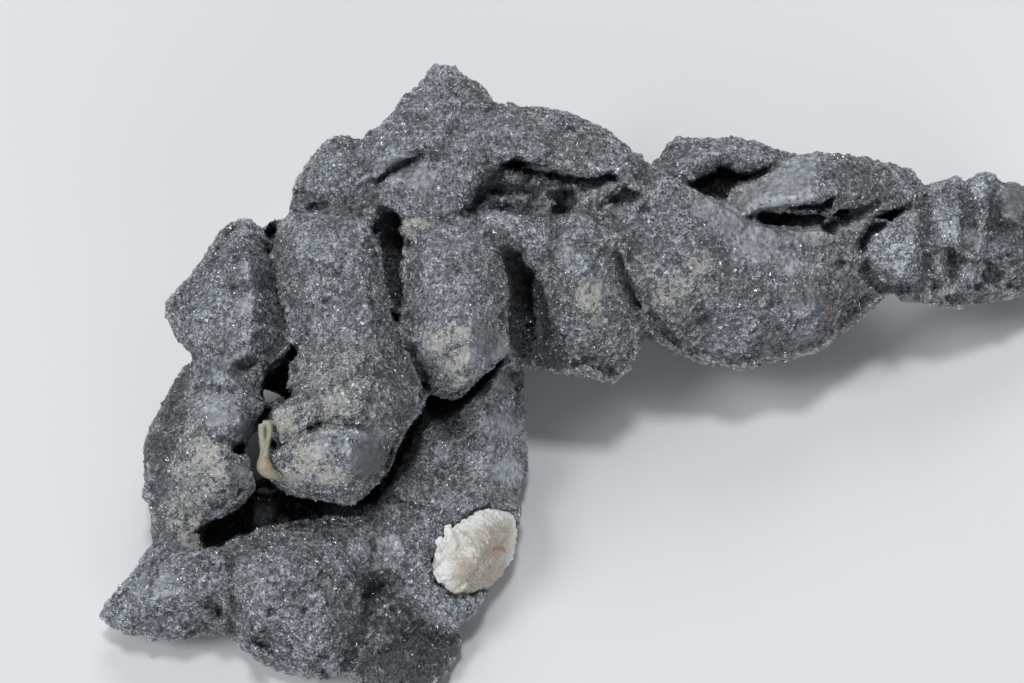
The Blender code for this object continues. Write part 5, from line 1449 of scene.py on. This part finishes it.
crustLook = {
    "cells": 4200.0,
    "cellTone": 0.8,
    "cellLean": (0.6, 0.05),  # rough and smooth
    "cellRoughness": (0.42, 0.62),
    "smoothRoughness": 0.5,
    "dustRoughness": 0.9,
    "dustEverywhere": 0.24,
    "dustSpeck": 2400.0,
    "dustRange": (0.2, 0.5),  # the heights from which dust starts to stay and stays best
    "dustHeld": (0.25, 1.1),
    "smoothTone": 0.27,
    "smoothDrift": 0.2,
    "dots": 1150.0,  # painted shade of the small round pits of a smooth patch
    "dotSizes": (0.26, 0.16),  # of a cell, from a pit's rim to its middle
    "dotDepth": 0.22,
    "metallic": 0.3,
}
grainLook = {
    "ownTone": 0.75,  # the rest drifts
    "contrast": 1.35,
    "dust": (0.65, 0.03),  # share of dusty crystals where dust is painted, and anywhere
    "redraw": 17.3,  # makes a second draw of a crystal's tone, for the dust
    "sparksFrom": 0.98,  # the tone from which a crystal gets the painted glint colour
    "moreSparks": 0.05,  # where glitter is painted
    "mirrorsFrom": (0.89, 0.92),  # the tones over which a crystal becomes a mirror
    "moreMirrors": 0.3,
    "metallic": (0.3, 0.9),  # plain and mirror
    "roughness": (0.45, 0.22),
    "dustRoughness": 0.85,
}


def hematiteColours(tree, tone, dust, deep, height):
    look = hematiteLook
    # the pits of the relief get painted shade, its knobs a painted highlight
    tone = times(tree, tone, stretchTo(tree, height, *look["reliefRange"], *look["reliefTones"]))
    # painted highlight lifts the tone, and painted shade lowers it
    raised = times(tree, tone, mixValues(tree, attributeOf(tree, "bloom"), 1.0, look["bloomTone"]))
    shaded = times(tree, raised, mixValues(tree, deep, 1.0, look["deepTone"]))
    bare = mixColours(tree, shaded, look["dark"], look["light"])
    stained = mixColours(tree, times(tree, attributeOf(tree, "rust"), look["stain"]), bare, look["rust"])
    return mixColours(tree, times(tree, dust, look["stain"]), stained, look["dust"])


def reliefNormal(tree, height, beneath=None):
    inputs = {"Height": height, "Distance": hematiteLook["relief"] * mm}
    if beneath:
        inputs["Normal"] = beneath
    return newNode(tree, "ShaderNodeBump", inputs).outputs["Normal"]


def hematiteCrust():
    material, tree, shader = newMaterial("hematiteCrust")
    look = crustLook
    smooth = attributeOf(tree, "smooth")
    height = useGroup(tree, "relief")["Height"]
    drift = useGroup(tree, "drift", hematiteLook["drift"])["Tone"]
    lean = mixValues(tree, smooth, *look["cellLean"])
    glitter = useGroup(tree, "glitter", {"Cells": look["cells"], "Lean": lean})
    held = stretchTo(tree, height, *look["dustRange"], *look["dustHeld"])
    lying = {
        "Amount": times(tree, attributeOf(tree, "dust"), held),
        "Everywhere": look["dustEverywhere"],
        "Speck": look["dustSpeck"],
    }
    dust = useGroup(tree, "veil", lying)["Mask"]
    cells = times(tree, drift, times(tree, glitter["Cell"], look["cellTone"]))
    # painted shade of small round pits on smooth patches
    middles = cellsOf(tree, look["dots"])["Distance"]
    dots = stretchTo(tree, middles, *look["dotSizes"], 0.0, look["dotDepth"])
    even = mathOf(tree, "SUBTRACT", mixValues(tree, look["smoothDrift"], look["smoothTone"], drift), dots)
    tone = mathOf(tree, "MAXIMUM", mixValues(tree, smooth, cells, even), 0.0)
    cellRoughness = mixValues(tree, glitter["Cell"], *look["cellRoughness"])
    bare = mixValues(tree, smooth, cellRoughness, look["smoothRoughness"])
    kneaded = times(tree, height, mixValues(tree, smooth, 1.0, hematiteLook["smoothRelief"]))
    setInputs(shader, {
        "Base Color": hematiteColours(tree, tone, dust, attributeOf(tree, "deep"), height),
        "Metallic": times(tree, leftOver(tree, dust), look["metallic"]),
        "Roughness": mixValues(tree, dust, bare, look["dustRoughness"]),
        "Normal": reliefNormal(tree, kneaded, glitter["Normal"]),
    })
    return material


def hematiteGrain():  # each crystal draws its own tone; the brightest are mirrors, the very brightest get a painted glint colour, and some carry dust
    material, tree, shader = newMaterial("hematiteGrain")
    look = grainLook
    drift = useGroup(tree, "drift", hematiteLook["drift"])["Tone"]
    shine, own = attributeOf(tree, "glitter"), attributeOf(tree, "tone")
    tone = mathOf(tree, "POWER", mixValues(tree, look["ownTone"], drift, own), look["contrast"])
    painted, anyway = look["dust"]
    wanted = mathOf(tree, "ADD", times(tree, attributeOf(tree, "dust"), painted), anyway)
    redrawn = mathOf(tree, "FRACT", times(tree, own, look["redraw"]))
    dust = mathOf(tree, "LESS_THAN", redrawn, wanted)
    # painted glints: the brightest crystals get a pale colour and are kept out of the painted shade
    glintDraw = mathOf(tree, "ADD", own, times(tree, shine, look["moreSparks"]))
    paintedGlints = mathOf(tree, "GREATER_THAN", glintDraw, look["sparksFrom"])
    shining = mathOf(tree, "ADD", own, times(tree, shine, look["moreMirrors"]))
    mirror = stretchTo(tree, shining, *look["mirrorsFrom"])
    deep = times(tree, attributeOf(tree, "deep"), leftOver(tree, paintedGlints))
    height = useGroup(tree, "relief")["Height"]
    colour = hematiteColours(tree, tone, dust, deep, height)
    bare = mixValues(tree, mirror, *look["roughness"])
    setInputs(shader, {
        "Base Color": mixColours(tree, paintedGlints, colour, hematiteLook["glint"]),
        "Metallic": times(tree, leftOver(tree, dust), mixValues(tree, mirror, *look["metallic"])),
        "Roughness": mixValues(tree, dust, bare, look["dustRoughness"]),
        "Normal": reliefNormal(tree, height),
    })
    return material


# The nodule: chalk white rim, tan dome, one orange streak
noduleLook = {
    "chalk": (0.84, 0.84, 0.83, 1),
    "tan": (0.45, 0.405, 0.35, 1),
    "grime": (0.3, 0.28, 0.26, 1),
    "grimeCovers": 0.5,
    "streak": (0.52, 0.2, 0.1, 1),
    "drift": {"Broad": 420.0, "Fine": 2600.0},
    "veil": {"Amount": 0.35, "Everywhere": 0.1, "Speck": 1700.0},
    "roughness": (0.85, 0.55),  # chalk and dome
    "glintRoughness": 0.12,
    "blotches": (0.0, 0.5, 0.2, 1.0),  # from this drift to that, the dome's tan goes from thin to full
    "grit": (5200.0, 0.06, 0.5),  # how fine, its height in mm and its strength
    "glow": (0.15, 0.6),  # how much light goes in, and how far in mm
}


def noduleCrust():
    material, tree, shader = newMaterial("noduleCrust")
    look = noduleLook
    blotches = useGroup(tree, "drift", look["drift"])["Tone"]
    dome = times(tree, attributeOf(tree, "tan"), stretchTo(tree, blotches, *look["blotches"]))
    grime = times(tree, useGroup(tree, "veil", look["veil"])["Mask"], look["grimeCovers"])
    base = mixColours(tree, dome, look["chalk"], look["tan"])
    dirty = mixColours(tree, grime, base, look["grime"])
    dull = mixValues(tree, dome, *look["roughness"])
    fineness, depth, strength = look["grit"]
    grit = {"Height": noiseOf(tree, fineness, 3.0), "Strength": strength, "Distance": depth * mm}
    glow, glowDepth = look["glow"]
    setInputs(shader, {
        "Base Color": mixColours(tree, attributeOf(tree, "streak"), dirty, look["streak"]),
        "Roughness": mixValues(tree, attributeOf(tree, "glitter"), dull, look["glintRoughness"]),
        "Normal": newNode(tree, "ShaderNodeBump", grit).outputs["Normal"],
        "Subsurface Weight": glow,
        "Subsurface Scale": glowDepth * mm,
    })
    return material


# The strand: waxy cream
strandLook = {
    "pale": (0.4, 0.395, 0.32, 1),
    "deep": (0.22, 0.21, 0.155, 1),
    "tan": (0.36, 0.29, 0.21, 1),
    "drift": {"Broad": 500.0, "Fine": 2200.0},
    "tanCovers": 0.7,
    "roughness": (0.5, 0.34),
    "glow": (0.35, 0.8),
}


def strandWax():
    material, tree, shader = newMaterial("strandWax")
    look = strandLook
    tone = useGroup(tree, "drift", look["drift"])["Tone"]
    waxy = mixColours(tree, tone, look["deep"], look["pale"])
    tan = times(tree, attributeOf(tree, "tan"), look["tanCovers"])
    glow, glowDepth = look["glow"]
    setInputs(shader, {
        "Base Color": mixColours(tree, tan, waxy, look["tan"]),
        "Roughness": mixValues(tree, tone, *look["roughness"]),
        "Subsurface Weight": glow,
        "Subsurface Scale": glowDepth * mm,
    })
    return material


# The stage: a pale floor, a small light overhead, larger ones behind, to the left and in front, a camera
stageForm = {
    "floorSize": 6.0,  # metres
    "floorColour": (0.745, 0.762, 0.785, 1),
    "floorRoughness": 0.75,
    "floorSpecular": 0.2,
    "sky": (0.97, 0.985, 1.0, 1),
    "skyStrength": 0.118,
    "lights": {
        "key": {"place": (0, 0.22, 2.4), "size": 0.42, "power": 19.5, "colour": (1.0, 1.0, 0.99)},
        "rear": {"place": (0.1, 2.2, 2.1), "size": 1.5, "power": 26.5, "colour": (0.98, 0.99, 1.0)},
        "left": {"place": (-1.7, -0.7, 1.9), "size": 1.0, "power": 30.0, "colour": (0.99, 0.99, 1.0)},
        "front": {"place": (0.7, -2.0, 0.8), "size": 1.0, "power": 11.0, "colour": (1.0, 0.99, 0.98)},
    },
}


def floorPaper():
    material, _, shader = newMaterial("floorPaper")
    setInputs(shader, {
        "Base Color": stageForm["floorColour"],
        "Roughness": stageForm["floorRoughness"],
        "Specular IOR Level": stageForm["floorSpecular"],
    })
    return material


def makeFloor():
    deselectAll()
    bpy.ops.mesh.primitive_plane_add(size=stageForm["floorSize"])
    floor = bpy.context.object
    floor.name = "floor"
    floor.data.materials.append(floorPaper())


def addLight(name, form):
    bpy.ops.object.light_add(type="AREA", location=form["place"])
    light = bpy.context.object
    light.name = name
    light.data.size = form["size"]
    light.data.energy = form["power"]
    light.data.color = form["colour"]
    light.rotation_euler = (-Vector(form["place"])).to_track_quat("-Z", "Y").to_euler()


def makeCamera():
    toEye = Vector(eyeAxes()[2])
    bpy.ops.object.camera_add(location=placeOf(0, 0, 0) + toEye * showFace["distance"] * mm)
    camera = bpy.context.object
    camera.rotation_euler = (-toEye).to_track_quat("-Z", "Y").to_euler()
    camera.data.lens = showFace["lens"]
    camera.data.sensor_width = showFace["sensor"]
    camera.data.clip_start = showFace["nearest"]
    bpy.context.scene.camera = camera


def makeStage():
    makeFloor()
    for name, form in stageForm["lights"].items():
        addLight(name, form)
    world = bpy.data.worlds.new("studio")
    world.use_nodes = True
    background = world.node_tree.nodes["Background"]
    background.inputs["Color"].default_value = stageForm["sky"]
    background.inputs["Strength"].default_value = stageForm["skyStrength"]
    bpy.context.scene.world = world
    bpy.context.scene.view_settings.view_transform = "Standard"
    makeCamera()


def finishPiece(piece, material):
    piece.data.materials.clear()
    piece.data.materials.append(material)
    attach(piece, "root")


deselectAll()
mass = makeMass()
paintMass(mass)
print("mass:", len(mass.data.polygons), "faces")
grains = makeGrains(mass)
print("grains:", sum(len(piece.data.polygons) for piece in grains), "faces")
nodule = makeNodule()
strand = makeStrand()
print("nodule and strand:", len(nodule.data.polygons), "and", len(strand.data.polygons), "faces")

finishPiece(mass, hematiteCrust())
crystal = hematiteGrain()
for piece in grains:
    finishPiece(piece, crystal)
finishPiece(nodule, noduleCrust())
finishPiece(strand, strandWax())
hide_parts("hematite_mass")
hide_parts("white_nodule")
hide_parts("pale_strand")
print("finishes are on")

makeStage()
deselectAll()
print("stage is set")
